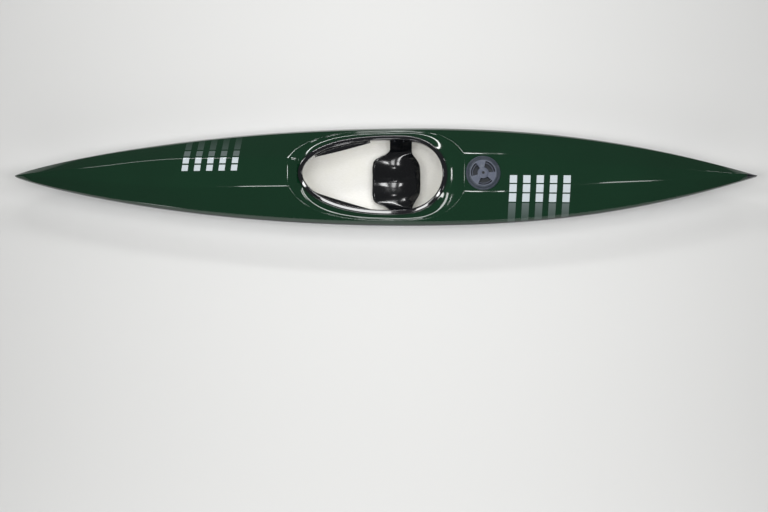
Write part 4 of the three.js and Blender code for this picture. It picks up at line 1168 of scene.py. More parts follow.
def seam_band(side, name):
    x = hull_stations(bow_cap_station, stern_cap_station, band_station_count)
    y, z = band_arc(x)
    core = (band_edge_half(x) - band_thickness)[:, None]
    y = np.concatenate([y, core, core], 1)
    z = np.concatenate([z, z[:, -1:], z[:, :1]], 1)
    return closed_sweep(name, points_at(x[:, None], side * y, z))


def tip_cap(name, tip, x, top_half, top_height):
    """A cap from the band's section and the part above it, drawn in to a round end at the tip."""
    y, z = band_arc(x)
    share = np.clip(1 - np.abs(tip - x) / nose_rounding, 0, 1)
    y = np.concatenate([y, top_half], 1) * np.sqrt(1 - share ** 2)[:, None]
    return closed_sweep(name, two_sided(x, y, np.concatenate([z, top_height], 1)))


bow_x = np.linspace(nose_rounding - half_length, bow_cap_station - gap, bow_cap_count)
bow_x = np.concatenate([nose_steps - half_length, bow_x])
stern_x = np.linspace(stern_cap_station + gap, half_length - nose_rounding, stern_cap_count)
stern_x = np.concatenate([stern_x, half_length - nose_steps[::-1]])
bow_top = (band_top(bow_x) - gap)[:, None]
stern_half = band_edge_half(stern_x)[:, None] * np.linspace(1, 0, stern_top_count)
stern_top = deck_z(stern_x[:, None], stern_half)

for side, side_name in sides:
    dress(seam_band(side, f"band_{side_name}"), [band_black], "boat",
          [f"seam_band_{side_name}"])
dress(tip_cap("bow_tip", -half_length, bow_x, 0 * bow_top, bow_top), [band_black], "boat",
      ["bow_cap"])
dress(tip_cap("stern_tip", half_length, stern_x, stern_half, stern_top), [band_black], "boat",
      ["stern_cap"])

# %% Skeg
skeg_front, skeg_rear = 1.364, 1.892
skeg_bottom, skeg_tail_height = 0.0245, 0.067
skeg_curve_start = 1.69
skeg_root_half, skeg_edge_half = 0.006, 0.003
skeg_fillet = 0.006
skeg_sink = 0.002
skeg_nose_run, skeg_least_thin = 0.045, 0.02
skeg_crowding, skeg_round_start = 1.3, 0.9
skeg_station_count, skeg_row_count = 90, 16


def skeg_piece():
    x = np.linspace(skeg_front, skeg_rear, skeg_station_count)
    curve = np.clip(x - skeg_curve_start, 0, None) / (skeg_rear - skeg_curve_start)
    low = skeg_bottom + (skeg_tail_height - skeg_bottom) * curve ** 2
    root = keel_z(x) + skeg_sink
    low = np.minimum(low, root - skeg_sink)
    near_end = np.minimum(x - skeg_front, skeg_rear - x)
    thin = np.sqrt(np.clip(near_end / skeg_nose_run, skeg_least_thin, 1))[:, None]
    down = np.linspace(0, 1, skeg_row_count)[None, :] ** skeg_crowding
    half = skeg_root_half + (skeg_edge_half - skeg_root_half) * down
    rounding = np.clip((down - skeg_round_start) / (1 - skeg_round_start), 0, 1)
    depth = (root - low)[:, None] * down
    flare = skeg_fillet * np.clip(1 - depth / (2 * skeg_fillet), 0, 1) ** 2
    y = (half * np.sqrt(1 - rounding ** 2) + flare) * thin
    y[:, -1] = 0
    return closed_sweep("stern_fin", two_sided(x, y, root[:, None] - depth), sharp_degrees=50)


dress(skeg_piece(), [hull_white], "boat", ["skeg"])

# %% [markdown]
# Coaming.
# The coaming is the black ring that a spray deck hooks under. Its section is a lip with rounded
# edges, a wall that hangs down inside the opening, and a small flange that sits on the deck. The
# section follows the cockpit's outline in plan and the rim's height along the boat. A sweep round the
# outline at even distances keeps the long reflections on the lip free of ripples.

# %% Coaming ring
coaming_place_count, fine_place_count = 360, 8001
lip_thickness, lip_edge_radius = 0.004, 0.0019
lip_slope, lip_outer_slope, lip_roll = 11.8, 27.0, 0.007
lip_inner_start, inner_corner_up, inner_roll = 0.0205, 0.0005, 0.008
foot_edge_radius = 0.0015
flange_inset, flange_thickness, flange_fillet = 0.008, 0.0035, 0.004
under_fillet = 0.005
lip_edge_count, lip_roll_count, lip_top_count = 7, 7, 5
inner_corner_count, foot_edge_count, fillet_count = 8, 4, 5


def even_angles(count):
    """Angles round the cockpit at even distances along the coaming."""
    fine = np.linspace(0, 2 * math.pi, fine_place_count)
    steps = np.linalg.norm(np.diff(coaming_edge(fine), axis=0), axis=1)
    run = np.concatenate([[0], np.cumsum(steps)])
    return np.interp(np.arange(count) / count * run[-1], run, fine)


def coaming_section():
    """The ring's section, as distances in from its outer edge and up from the rim."""
    run = np.concatenate([np.linspace(lip_edge_radius, lip_roll, lip_roll_count),
                          np.linspace(lip_roll, lip_inner_start, lip_top_count)[1:]])
    rolled = np.clip((lip_roll - run) / (lip_roll - lip_edge_radius), 0, 1)
    rates = np.tan(np.radians(lip_slope + (lip_outer_slope - lip_slope) * rolled))
    rises = np.concatenate([[0], np.cumsum((rates[1:] + rates[:-1]) / 2 * np.diff(run))])
    top = rises - rises[-1]
    section = arc(lip_edge_radius, top[0] - lip_edge_radius, lip_edge_radius, 270, 90 + lip_outer_slope,
                  lip_edge_count)
    section += list(zip(run, top))
    inner_edge = [(lip_inner_start, 0), (web_inner, inner_corner_up), (web_inner, -inner_roll)]
    section += list(bezier_corner(*np.array(inner_edge), inner_corner_count)[1:])
    low = foot_edge_radius - web_depth
    section += arc(web_inner - foot_edge_radius, low, foot_edge_radius, 0, -90, foot_edge_count)
    section += arc(web_inset + foot_edge_radius, low, foot_edge_radius, 270, 180, foot_edge_count)
    base = gap - rim_riser
    flange_top = base + flange_thickness
    section += [(web_inset, base), (flange_inset, base), (flange_inset, flange_top)]
    fillet_up = flange_top + flange_fillet
    section += arc(web_inset - flange_fillet, fillet_up, flange_fillet, -90, 0, fillet_count)
    under = (web_inset - lip_inner_start) * math.tan(math.radians(lip_slope)) - lip_thickness
    section += arc(web_inset - under_fillet, under - under_fillet, under_fillet, 0, 90, fillet_count)
    return section


def round_the_cockpit(section, angles):
    """Sections round the cockpit from the ring's section."""
    height = rim_z(coaming_edge(angles)[:, 0])
    rows = [points_at(*coaming_place(angles, inward).T, height + rise) for inward, rise in section]
    return np.stack(rows, 1)


rim_sections = round_the_cockpit(coaming_section(), even_angles(coaming_place_count))
dress(closed_sweep("cockpit_rim", rim_sections, ring=True, sharp_degrees=50),
      [rim_black], "boat", ["coaming"])

# %% [markdown]
# Thigh braces.
# Under the front of the rim, two black flanges reach in over the paddler's thighs. Each follows the
# curved wall of the coaming on one side and runs straight on the other. A sweep along the boat gives
# both: at each station the section reaches from the wall to a straight line.

# %% Thigh braces
brace_front, brace_rear = -0.43, -0.095
brace_flange, brace_thickness = 0.024, 0.004
brace_drop_share = 0.35
brace_front_half, brace_rear_half = 0.108, 0.205
brace_least_reach = 0.004
brace_rounding = 0.006
brace_station_count, brace_corner_count, brace_tip_count = 70, 4, 5
wall_angle_margin, wall_angle_count = 0.02, 2001

wall_angles = np.linspace(wall_angle_margin, math.pi - wall_angle_margin, wall_angle_count)


def wall_half(x, inward):
    """Half width at a station of a line round the cockpit, a distance in from the coaming's edge."""
    place = coaming_place(wall_angles, inward)
    order = np.argsort(place[:, 0])
    return np.interp(x, place[order, 0], place[order, 1])


def brace_piece(side, name):
    x = np.linspace(brace_front, brace_rear, brace_station_count)
    wall = wall_half(x, web_inner + gap)
    face = wall_half(x, web_inner + gap + brace_thickness)
    low = rim_z(x) - web_depth
    line = straight(brace_front_half, brace_rear_half, len(x))
    tip = np.minimum(line, face - brace_least_reach)
    corner = np.minimum(brace_rounding, (face - tip) / 2)
    lip = brace_thickness / 2
    outline = [(wall, low), (wall, low + brace_flange), (face, low + brace_flange)]
    outline += arc(face - corner, low + brace_thickness + corner, corner, 0, -90, brace_corner_count)
    tip_low = low - brace_drop_share * (face - tip)
    outline += arc(tip + lip, tip_low + lip, lip, 90, 270, brace_tip_count)
    y, z = np.array(outline).transpose(1, 2, 0)
    return closed_sweep(name, points_at(x[:, None], side * y, z), sharp_degrees=50)


for side, side_name in sides:
    dress(brace_piece(side, f"thigh_flange_{side_name}"), [rim_black], "boat",
          [f"thigh_brace_{side_name}"])

# %% [markdown]
# The seat.
# The seat is one glossy laminate moulding: a pan with a hollow for each side, a raised rear edge, a
# low ridge in the middle of the front, and two ears that climb to the coaming's wall. Its spine, from
# the middle out to the ear, is a row of points, and the pan's front and rear edges narrow towards the
# ear. A smooth curve through the rows gives the double-curved surface that holds the highlights.

# %% Seat
seat_front, seat_rear = -0.083, 0.207
seat_thickness, seat_edge_break = 0.004, 0.0016
seat_pan_half = 0.185
seat_low = 0.042
seat_rear_rise, seat_front_rise = 0.062, 0.014
seat_pommel, seat_pommel_half = 0.003, 0.03
seat_hollow_station, seat_hollow_out = 0.045, 0.08
seat_hollow_depth, seat_hollow_half, seat_hollow_length = 0.009, 0.056, 0.085
seat_front_roll, seat_front_roll_length = 0.008, 0.016
seat_ear_front, seat_ear_rear = 0.024, 0.158
seat_ear_top_drop = 0.012
seat_rear_power = 2.4
seat_rows_between, seat_column_count = 7, 64
seat_spine_shares = [
    (0, 0.02), (0.2, 0.008), (0.48, 0), (0.72, 0.03), (0.9, 0.11), (0.99, 0.24), (1.04, 0.4),
    (1.07, 0.56), (1.1, 0.72),
]
seat_ear_shares, seat_sweep_shares = (0.62, 1.02), (0.35, 1.02)
below_seat = -1.0


def seat_row(out_share, up_share, t):
    reach = seat_pan_half * out_share
    ear = smoothstep(out_share, *seat_ear_shares)
    sweep = smoothstep(out_share, *seat_sweep_shares)
    front = seat_front + (seat_ear_front - seat_front) * ear
    rear = seat_rear + (seat_ear_rear - seat_rear) * sweep
    x = front + (rear - front) * t
    hollow = (seat_hollow_station - seat_front) / (seat_rear - seat_front)
    front_lift = seat_front_rise * np.clip((hollow - t) / hollow, 0, 1) ** 2
    rear_lift = seat_rear_rise * np.clip((t - hollow) / (1 - hollow), 0, 1) ** seat_rear_power
    pommel = seat_pommel * math.exp(-((reach / seat_pommel_half) ** 2)) * (1 - t)
    dip_x = (x - seat_hollow_station) / seat_hollow_length
    dip_y = (reach - seat_hollow_out) / seat_hollow_half
    dip = seat_hollow_depth * np.exp(-dip_x ** 2 - dip_y ** 2)
    ear_top = height_at_share(rim_shares["low"]) - web_depth - seat_low
    roll = seat_front_roll * np.clip(1 - (x - front) / seat_front_roll_length, 0, 1) ** 2
    z = seat_low + ear_top * up_share + (front_lift + rear_lift - roll) * (1 - ear) + pommel - dip
    return points_at(x, reach, z)


def seat_ear_row(drop, t):
    x = seat_ear_front + (seat_ear_rear - seat_ear_front) * t
    return points_at(x, wall_half(x, web_inner + gap), rim_z(x) - drop)


def smooth_rows(rows, between):
    """Rows between the given rows, along curves that pass through them all."""
    padded = np.array([rows[1] * port_side, *rows, 2 * rows[-1] - rows[-2]])
    result = []
    for a, b, c, d in zip(padded, padded[1:], padded[2:], padded[3:]):
        for t in np.arange(between) / between:
            result.append(0.5 * (2 * b + (c - a) * t + (2 * a - 5 * b + 4 * c - d) * t ** 2
                                 + (3 * b - a - 3 * c + d) * t ** 3))
    return np.array(result + [rows[-1]])


seat_t = np.linspace(0, 1, seat_column_count + 1)
seat_rows = [seat_row(out, up, seat_t) for out, up in seat_spine_shares]
seat_rows += [seat_ear_row(drop, seat_t) for drop in (web_depth + gap, seat_ear_top_drop)]
seat_bm = both_halves_skin([smooth_rows(seat_rows, seat_rows_between)], below_seat)
thicken(seat_bm, lambda point: seat_thickness)
seat = break_edges(make_object("seat_moulding", seat_bm, 50), seat_edge_break, segments=3, degrees=60)
dress(seat, [seat_black, seat_black], "boat", ["seat"])

# %% [markdown]
# The stern hatch.
# The hatch is a screw-in deck plate of moulded plastic: a ring let into the deck, a seal, a lid with
# three finger pockets between broad spokes, and a screw in its hub. Round pieces are sections turned
# about an axis. The lid isn't round, but it is still one height over each place of a disc. So a polar
# grid of heights makes it in one skin, with every pocket edge rounded, and its points lie closer
# together where the pockets' walls stand.

# %% Place of the hatch
hatch_station = 0.585
hatch_outer, hatch_bore, hatch_neck_wall = 0.106, 0.078, 0.004
hatch_rebate, hatch_neck_depth, hatch_flange = 0.002, 0.024, 0.007
hatch_step, hatch_step_height = 0.092, 0.0025
hatch_turn_count = 96

hatch_ends = deck_z(np.array([hatch_station - hatch_outer, hatch_station + hatch_outer]), np.zeros(2))
hatch_slope = math.atan2(hatch_ends[1] - hatch_ends[0], 2 * hatch_outer)
hatch_height = float(deck_z(hatch_station, 0.0)) - hatch_rebate
hatch_place = Matrix.Translation((hatch_station, 0, hatch_height)) @ Matrix.Rotation(-hatch_slope, 4, "Y")


def rounded(corners, segments=4):
    """An outline whose corners (across, up, radius) are replaced by short curves."""
    points = []
    for i, (across, up, radius) in enumerate(corners):
        here = np.array([across, up])
        runs = [np.array(corners[j % len(corners)][:2]) - here for j in (i - 1, i + 1)]
        start, end = [here + run * radius / np.linalg.norm(run) for run in runs]
        points += list(bezier_corner(start, here, end, segments + 1)) if radius else [here]
    return np.array(points)


def around(count):
    return np.arange(count) * 2 * math.pi / count


def rings_about_axis(angle, across, up):
    """Points at distances from the axis and heights, one row for each angle."""
    return points_at(np.cos(angle)[:, None] * across, np.sin(angle)[:, None] * across, up)


def turned(name, outline, count=hatch_turn_count):
    """A section of (distance from the axis, height) turned about the hatch's axis."""
    piece = closed_sweep(name, rings_about_axis(around(count), *outline.T), ring=True, sharp_degrees=40)
    piece.data.transform(hatch_place)
    return piece


def closed_over_axis(angle, across, up):
    """A closed skin of rings that starts and ends on the axis itself."""
    zero = np.zeros((len(angle), 1))
    across = np.concatenate([zero, across, zero], 1)
    up = np.concatenate([up[:, :1], up, up[:, -1:]], 1)
    bm = bmesh.new()
    grid_mesh(bm, rings_about_axis(angle, across, up), wrap=True)
    weld(bm)
    return bm


print(f"hatch slope {math.degrees(hatch_slope):.1f} degrees")

# %% Ring and seal
step_top = gap + hatch_step_height
flange_top = gap + hatch_flange
neck_radius = hatch_bore + hatch_neck_wall
seal_radius, seal_thickness = 0.085, 0.0024
seal_in, seal_out = seal_radius - seal_thickness / 2, seal_radius + seal_thickness / 2
seal_low = step_top + gap
seal_top = seal_low + seal_thickness
shoulder_drop, shoulder_in, step_edge_out = 0.0035, 0.0045, 0.0004

ring_outline = rounded([
    (hatch_bore, -hatch_neck_depth, 0.001), (neck_radius, -hatch_neck_depth, 0.001),
    (neck_radius, gap, 0), (hatch_outer, gap, 0), (hatch_outer, flange_top - shoulder_drop, 0.002),
    (hatch_outer - shoulder_in, flange_top, 0.0025), (hatch_step + step_edge_out, flange_top, 0.0009),
    (hatch_step, step_top, 0), (hatch_bore, step_top, 0.0008),
])
seal_outline = rounded([
    (seal_in, seal_low, 0.0005), (seal_out, seal_low, 0.0005), (seal_out, seal_top, 0.001),
    (seal_in, seal_top, 0.001),
])
dress(turned("hatch_frame", ring_outline), [ring_slate], "boat", ["hatch_ring"])
dress(turned("hatch_seal_ring", seal_outline), [seal_rubber], "hatch_seal",
      ["hatch_gasket"])

# %% Lid
facet_count = 32
facet_share = math.cos(math.pi / facet_count)
lid_radius = hatch_step * facet_share - gap
plug_radius = hatch_bore * facet_share - gap
lid_low = seal_top + gap
lid_thickness = 0.0045
lid_top = lid_low + lid_thickness
lid_middle = 0.004
plug_bottom, plug_floor = -0.016, 0.004
pocket_inner, pocket_outer = 0.034, 0.0735
pocket_half_angle, pocket_first_angle = math.radians(36), math.radians(42)
pocket_count = 3
pocket_floor = plug_bottom + plug_floor
pocket_wall_width = 0.0016
grip_radius, grip_half, grip_top, grip_edge_width = 0.0638, 0.0022, 0.003, 0.0012
lid_border = 0.0775
hub_radius, hub_rise, hub_edge_width = 0.029, 0.003, 0.003
hub_top = lid_top + hub_rise
hub_screw_radius, hub_screw_depth, hub_screw_sink = 0.008, 0.014, 0.002
hub_bore, bore_wall_width = hub_screw_radius + gap, 0.0006
spoke_crown = 0.0008


def ramp(distance, width):
    """0 outside an edge, 1 inside it, with a smooth wall between."""
    return smoothstep(distance, -width / 2, width / 2)


def pocket_angle_at(angle):
    """Angle from the middle of the nearest pocket."""
    step = 2 * math.pi / pocket_count
    return np.abs((angle - pocket_first_angle + step / 2) % step - step / 2)


def lid_height(radius, angle):
    """Height of the lid's top at a place."""
    pocket = ramp((pocket_half_angle - pocket_angle_at(angle)) * radius, pocket_wall_width)
    pocket = pocket * ramp(radius - pocket_inner, pocket_wall_width)
    pocket = pocket * ramp(pocket_outer - radius, pocket_wall_width)
    spoke_run = np.clip((radius - hub_radius) / (lid_radius - hub_radius), 0, 1)
    hub = hub_rise * ramp(hub_radius - radius, hub_edge_width)
    top = lid_top + hub + spoke_crown * np.sin(spoke_run * math.pi)
    grip = ramp(grip_half - np.abs(radius - grip_radius), grip_edge_width)
    floor = pocket_floor + (grip_top - pocket_floor) * grip
    height = top + (floor - top) * pocket
    bore = ramp(hub_bore - radius, bore_wall_width)
    return height + (hub_top - hub_screw_depth - gap - height) * bore


def crowded_values(low, high, count, edges, reach, edge_count):
    """Values from low to high, with more of them near each edge."""
    values = [np.linspace(low, high, count)]
    values += [np.linspace(edge - reach, edge + reach, edge_count) for edge in edges]
    return np.unique(np.round(np.concatenate(values), 7))


pocket_span, next_span_gap, span_count = math.pi / pocket_count, 0.03, 34
pocket_edge_reach, pocket_edge_count = math.radians(2.6), 11
lid_edge_round, lid_ring_count, ring_edge_reach, ring_edge_count = 0.0016, 18, 0.0011, 7
lid_angles = []
for middle in pocket_first_angle + around(pocket_count):
    pocket_edges = (middle - pocket_half_angle, middle + pocket_half_angle)
    lid_angles.append(crowded_values(middle - pocket_span, middle + pocket_span - next_span_gap,
                                     span_count, pocket_edges, pocket_edge_reach, pocket_edge_count))
lid_angles = np.concatenate(lid_angles)
lid_edges = (hub_bore, hub_radius, pocket_inner, pocket_outer, grip_radius - grip_half,
             grip_radius + grip_half)
lid_radii = crowded_values(lid_middle, lid_radius - lid_edge_round, lid_ring_count, lid_edges,
                           ring_edge_reach, ring_edge_count)
lid_rim = rounded([
    (lid_radius, lid_top, 0.0014), (lid_radius, lid_low, 0.0006), (plug_radius, lid_low, 0),
    (plug_radius, plug_bottom, 0.0012), (lid_middle, plug_bottom, 0),
])
lid_shape = (len(lid_angles), len(lid_rim))
radius_grid, angle_grid = np.meshgrid(lid_radii, lid_angles)
lid_across = np.concatenate([radius_grid, np.broadcast_to(lid_rim[:, 0], lid_shape)], 1)
lid_up = np.concatenate([lid_height(radius_grid, angle_grid),
                         np.broadcast_to(lid_rim[:, 1], lid_shape)], 1)
lid_bm = closed_over_axis(lid_angles, lid_across, lid_up)
print(f"lid of {len(lid_bm.faces)} faces")

# %% Finishes of the lid
floor_reach, grip_border = 0.004, 0.0008

for face in lid_bm.faces:
    centre = face.calc_center_median()
    across, angle = math.hypot(centre.x, centre.y), math.atan2(centre.y, centre.x)
    in_pocket = pocket_inner < across < pocket_outer and centre.z < lid_top - floor_reach
    on_grip = abs(across - grip_radius) < grip_half + grip_border and centre.z > pocket_floor + floor_reach
    # Faces in the finger pockets take the darker slate, which is painted shade of the recess.
    if in_pocket and not on_grip and pocket_angle_at(angle) < pocket_half_angle:
        face.material_index = 1
    if across > lid_border:
        face.material_index = 2
lid = make_object("hatch_cover_plate", lid_bm, 60)
lid.data.transform(hatch_place)
dress(lid, [lid_slate, pocket_slate, ring_slate], "hatch_cover", ["hatch_lid"])

# %% Hub screw
screw_top = hub_top - hub_screw_sink
screw_low = hub_top - hub_screw_depth
screw_bore, screw_turn_count = 0.0004, 36
drive_depth, drive_radius, drive_mouth = 0.003, 0.0026, 0.0029
drive_low = screw_top - drive_depth
screw_outline = rounded([
    (screw_bore, drive_low, 0), (drive_radius, drive_low, 0.0003), (drive_mouth, screw_top, 0.0005),
    (hub_screw_radius, screw_top, 0.001), (hub_screw_radius, screw_low, 0.0005),
    (screw_bore, screw_low, 0),
])
dress(turned("hub_screw", screw_outline, screw_turn_count), [fitting_black], "hatch_cover",
      ["hatch_hub_screw"])

# %% [markdown]
# The hole in the deck.
# The ring's neck passes through the deck, so the deck needs a real hole. The deck's grid doesn't
# follow a circle there. A Boolean modifier cuts it cleanly, and the ring's flange covers the cut
# edge, as it does on the boat. The cutter is a plain drum that is thrown away afterwards.

# %% Deck hole
hatch_hole_radius, drum_bore, drum_turn_count = 0.0825, 0.0002, 72
drum_half_height = 0.03

drum = turned("hole_drum", np.array([
    (drum_bore, drum_half_height), (hatch_hole_radius, drum_half_height),
    (hatch_hole_radius, -drum_half_height), (drum_bore, -drum_half_height),
]), drum_turn_count)
cutter = deck.modifiers.new("hatch_hole", "BOOLEAN")
cutter.operation = "DIFFERENCE"
cutter.object = drum
plain_mesh(deck)
bpy.data.objects.remove(drum)
print(f"{len(deck.data.polygons)} faces of the deck after the hole")

# %% [markdown]
# Screws, bolts and nuts.
# The boat is held together by eighteen fixings of four kinds, and each kind repeats: six screws round
# the hatch, four bolts and four nuts at the seat's ears, and four bolts through the hull for the
# footrests. One Geometry Nodes tree sets a copy of a fixing on every point of a small mesh, turned as
# the point's own attribute says. The result is turned into a plain mesh for each kind.

# %% Geometry Nodes tree
def make_fixings_tree():
    group, given, result = new_group(
        "set_fixings", "GeometryNodeTree",
        {"Places": "Geometry", "Fixing": "Object", "Size": 1.0, "Finish": "Material"},
        {"Geometry": "Geometry"},
    )
    one = add_node(group, "GeometryNodeObjectInfo", {"Object": given["Fixing"]}).outputs["Geometry"]
    turn = add_node(group, "GeometryNodeInputNamedAttribute", {"Name": "turn"}, data_type="FLOAT_VECTOR")
    rotation = add_node(group, "FunctionNodeEulerToRotation", {0: turn.outputs[0]}).outputs[0]
    copies = add_node(group, "GeometryNodeInstanceOnPoints", {
        "Points": given["Places"], "Instance": one, "Rotation": rotation, "Scale": given["Size"],
    })
    real = add_node(group, "GeometryNodeRealizeInstances", {0: copies.outputs[0]})
    finished = add_node(group, "GeometryNodeSetMaterial", {
        "Geometry": real.outputs[0], "Material": given["Finish"],
    })
    connect(group, result, {"Geometry": finished.outputs[0]})
    return group


fixings_tree = make_fixings_tree()
fixing_inputs = {item.name: item.identifier for item in fixings_tree.interface.items_tree
                 if item.in_out == "INPUT"}


def set_fixings(name, fixing, places, material, node):
    """A fixing at each place. A place is a point and the direction in which the head looks."""
    points = bpy.data.meshes.new(name)
    points.from_pydata([tuple(point) for point, _ in places], [], [])
    turn = points.attributes.new("turn", "FLOAT_VECTOR", "POINT")
    for i, (_, direction) in enumerate(places):
        turn.data[i].vector = turned_to(direction)
    piece = add_object(name, points)
    modifier = piece.modifiers.new("fixings", "NODES")
    modifier.node_group = fixings_tree
    for label, value in (("Fixing", fixing), ("Size", 1.0), ("Finish", material)):
        modifier[fixing_inputs[label]] = value
    plain_mesh(piece)
    bpy.data.objects.remove(fixing)
    dress(piece, [], "boat", [f"{node}_{i + 1}" for i in range(len(places))])


print("inputs of the tree:", list(fixing_inputs))

# %% One fixing of each kind
fixing_turn_count = 48
fixing_angle = around(fixing_turn_count)
least_sine = 1e-3
edge_break, shank_end = 0.0003, 0.0008
dome_shares, dome_fall, dome_power = (0.75, 0.9, 1.0), 0.45, 3
drive_floor_share = 0.93
chamfer_share, flat_share, nut_chamfer = 0.93, 0.9, 0.0006


def hexagon_reach(across_flats):
    return across_flats / 2 / np.cos((fixing_angle + math.pi / 6) % (math.pi / 3) - math.pi / 6)


def cross_reach(arm_length, arm_half):
    off = np.abs((fixing_angle + math.pi / 4) % (math.pi / 2) - math.pi / 4)
    return np.minimum(arm_length, arm_half / np.maximum(np.sin(off), least_sine))


def fixing_piece(name, rings):
    """A closed piece from rings of (distance from the axis, height). A distance may vary by angle."""
    across = np.stack([np.broadcast_to(reach, fixing_angle.shape) for reach, _ in rings], 1)
    up = np.broadcast_to([height for _, height in rings], across.shape)
    return make_object(name, closed_over_axis(fixing_angle, across, up), 30)


def bolt(name, drive, drive_depth, head_radius, head_height, shank_radius, shank_length):
    """A pan-headed bolt that looks up, with the underside of its head at height 0."""
    dome = [(head_radius * share, head_height * (1 - dome_fall * share ** dome_power))
            for share in dome_shares]
    rings = [(drive * drive_floor_share, head_height - drive_depth), (drive, head_height)] + dome
    rings += [(head_radius, edge_break), (head_radius - edge_break, 0), (shank_radius, 0)]
    rings += [(shank_radius, shank_end - shank_length), (shank_radius - shank_end, -shank_length)]
    return fixing_piece(name, rings)


def hex_nut(name, radius, thickness):
    hexagon = hexagon_reach(2 * radius * math.cos(math.pi / 6))
    chamfer = np.minimum(hexagon, radius * chamfer_share)
    rings = [(chamfer * flat_share, thickness), (chamfer, thickness), (hexagon, thickness - nut_chamfer),
             (hexagon, nut_chamfer), (chamfer, 0), (chamfer * flat_share, 0)]
    return fixing_piece(name, rings)


# The numbers of a bolt: depth of its drive, radius and height of its head, radius and length of its
# shank. Those of a nut: radius over its corners and thickness.
hatch_screw = bolt("hatch_screw", cross_reach(0.0022, 0.0006), 0.0012, 0.0039, 0.0024, 0.002, 0.0155)
seat_bolt = bolt("seat_bolt", hexagon_reach(0.004), 0.0016, 0.0055, 0.003, 0.0025, 0.0156)
foot_bolt = bolt("foot_bolt", hexagon_reach(0.005), 0.0018, 0.006, 0.003, 0.003, 0.0186)
seat_nut = hex_nut("seat_nut", 0.0046, 0.004)
print("socket bolts, cross-headed screws and hexagon nuts")

# %% Hatch screws
hatch_axis = (hatch_place.to_3x3() @ Vector((0, 0, 1))).normalized()
hatch_screw_count, hatch_screw_circle, hatch_screw_sink = 6, 0.0995, 0.0018
hatch_screw_places = []
for angle in around(hatch_screw_count) + math.pi / hatch_screw_count:
    spot = Vector((math.cos(angle), math.sin(angle), 0)) * hatch_screw_circle
    spot.z = flange_top - hatch_screw_sink
    hatch_screw_places.append((hatch_place @ spot, hatch_axis))
set_fixings("hatch_screws", hatch_screw, hatch_screw_places, dark_steel, "hatch_screw")

# %% Seat bolts and nuts
seat_bolt_station, seat_bolt_spacing, seat_bolt_drop = 0.079, 0.054, 0.033
seat_bolt_places, seat_nut_places = [], []
for side, _ in sides:
    for x in (seat_bolt_station - seat_bolt_spacing / 2, seat_bolt_station + seat_bolt_spacing / 2):
        wall = float(wall_half(x, web_inner + gap))
        z = float(rim_z(x)) - seat_bolt_drop
        head = Vector((x, side * (wall - seat_thickness - 3 * gap), z))
        nut = Vector((x, side * (wall + web_thickness + 3 * gap), z))
        seat_bolt_places.append((head, Vector((0, -side, 0))))
        seat_nut_places.append((nut, Vector((0, side, 0))))
set_fixings("seat_bolts", seat_bolt, seat_bolt_places, dark_steel, "seat_bolt")
set_fixings("seat_nuts", seat_nut, seat_nut_places, steel, "seat_nut")

# %% [markdown]
# Footrests.
# Ahead of the seat, a toothed rail is bolted inside each side of the hull, and a pedal clips over it
# and slides. Nobody sees them in the main view, but a paddler does, so they have their real form:
# the rail is an outline with teeth pushed out to its thickness, the pedal is a clip, a plate and its
# ribs. A Bevel modifier breaks their edges, as a mould does.

# %% Footrest frame
foot_brace_station, foot_bolt_spacing, foot_bolt_height = -0.934, 0.38, 0.132
rail_length, rail_height, rail_thickness, rail_standoff = 0.43, 0.028, 0.01, 0.014
rail_boss_radius, rail_tooth_pitch, rail_tooth_depth = 0.008, 0.02, 0.003
boss_sink, boss_gap, boss_count = 0.001, 0.0015, 20
rail_edge_break, pedal_edge_break = 0.0006, 0.0009


def foot_brace(side):
    """Frame at the hull's inner face: x along the rail, y towards the hull side, z up."""
    front, rear = (float(hull_half_at(foot_brace_station + sign * foot_bolt_spacing / 2,
                                      foot_bolt_height)) - skin for sign in (-1, 1))
    angle = math.atan2(rear - front, foot_bolt_spacing)
    place = Matrix.Translation((foot_brace_station, side * (front + rear) / 2, foot_bolt_height))
    place = place @ Matrix.Rotation(side * angle, 4, "Z")
    return place, foot_bolt_spacing / 2 / math.cos(angle)


def prism(bm, outline, near, far, axes):
    """A closed prism in a bmesh: an outline of (a, b) pairs pushed from near to far."""
    start, end = [[bm.verts.new(Vector(axes(a, b, depth))) for a, b in outline] for depth in (near, far)]
    for i in range(len(outline)):
        bm.faces.new((start[i - 1], start[i], end[i], end[i - 1]))
    bm.faces.new(start[::-1])
    bm.faces.new(end)


def finish_moulding(name, bm, place, bevel_width):
    bm.transform(place)
    bmesh.ops.recalc_face_normals(bm, faces=bm.faces)
    return break_edges(make_object(name, bm, 30), bevel_width, segments=2, degrees=35, harden=True)


print(f"footrest bolts {2 * foot_brace(1)[1]:.3f} m apart along the hull's wall")

# %% Rails and their bolts
teeth = math.floor(rail_length / rail_tooth_pitch)
tooth_step = rail_length / teeth
rail_high, rail_low = rail_height / 2, rail_height / 2 - rail_tooth_depth
rail_outline = [(-rail_length / 2, -rail_high), (rail_length / 2, -rail_high)]
for i in range(teeth):
    x = rail_length / 2 - i * tooth_step
    rail_outline += [(x, rail_high), (x - tooth_step / 2, rail_high)]
    rail_outline += [(x - tooth_step / 2, rail_low), (x - tooth_step, rail_low)]

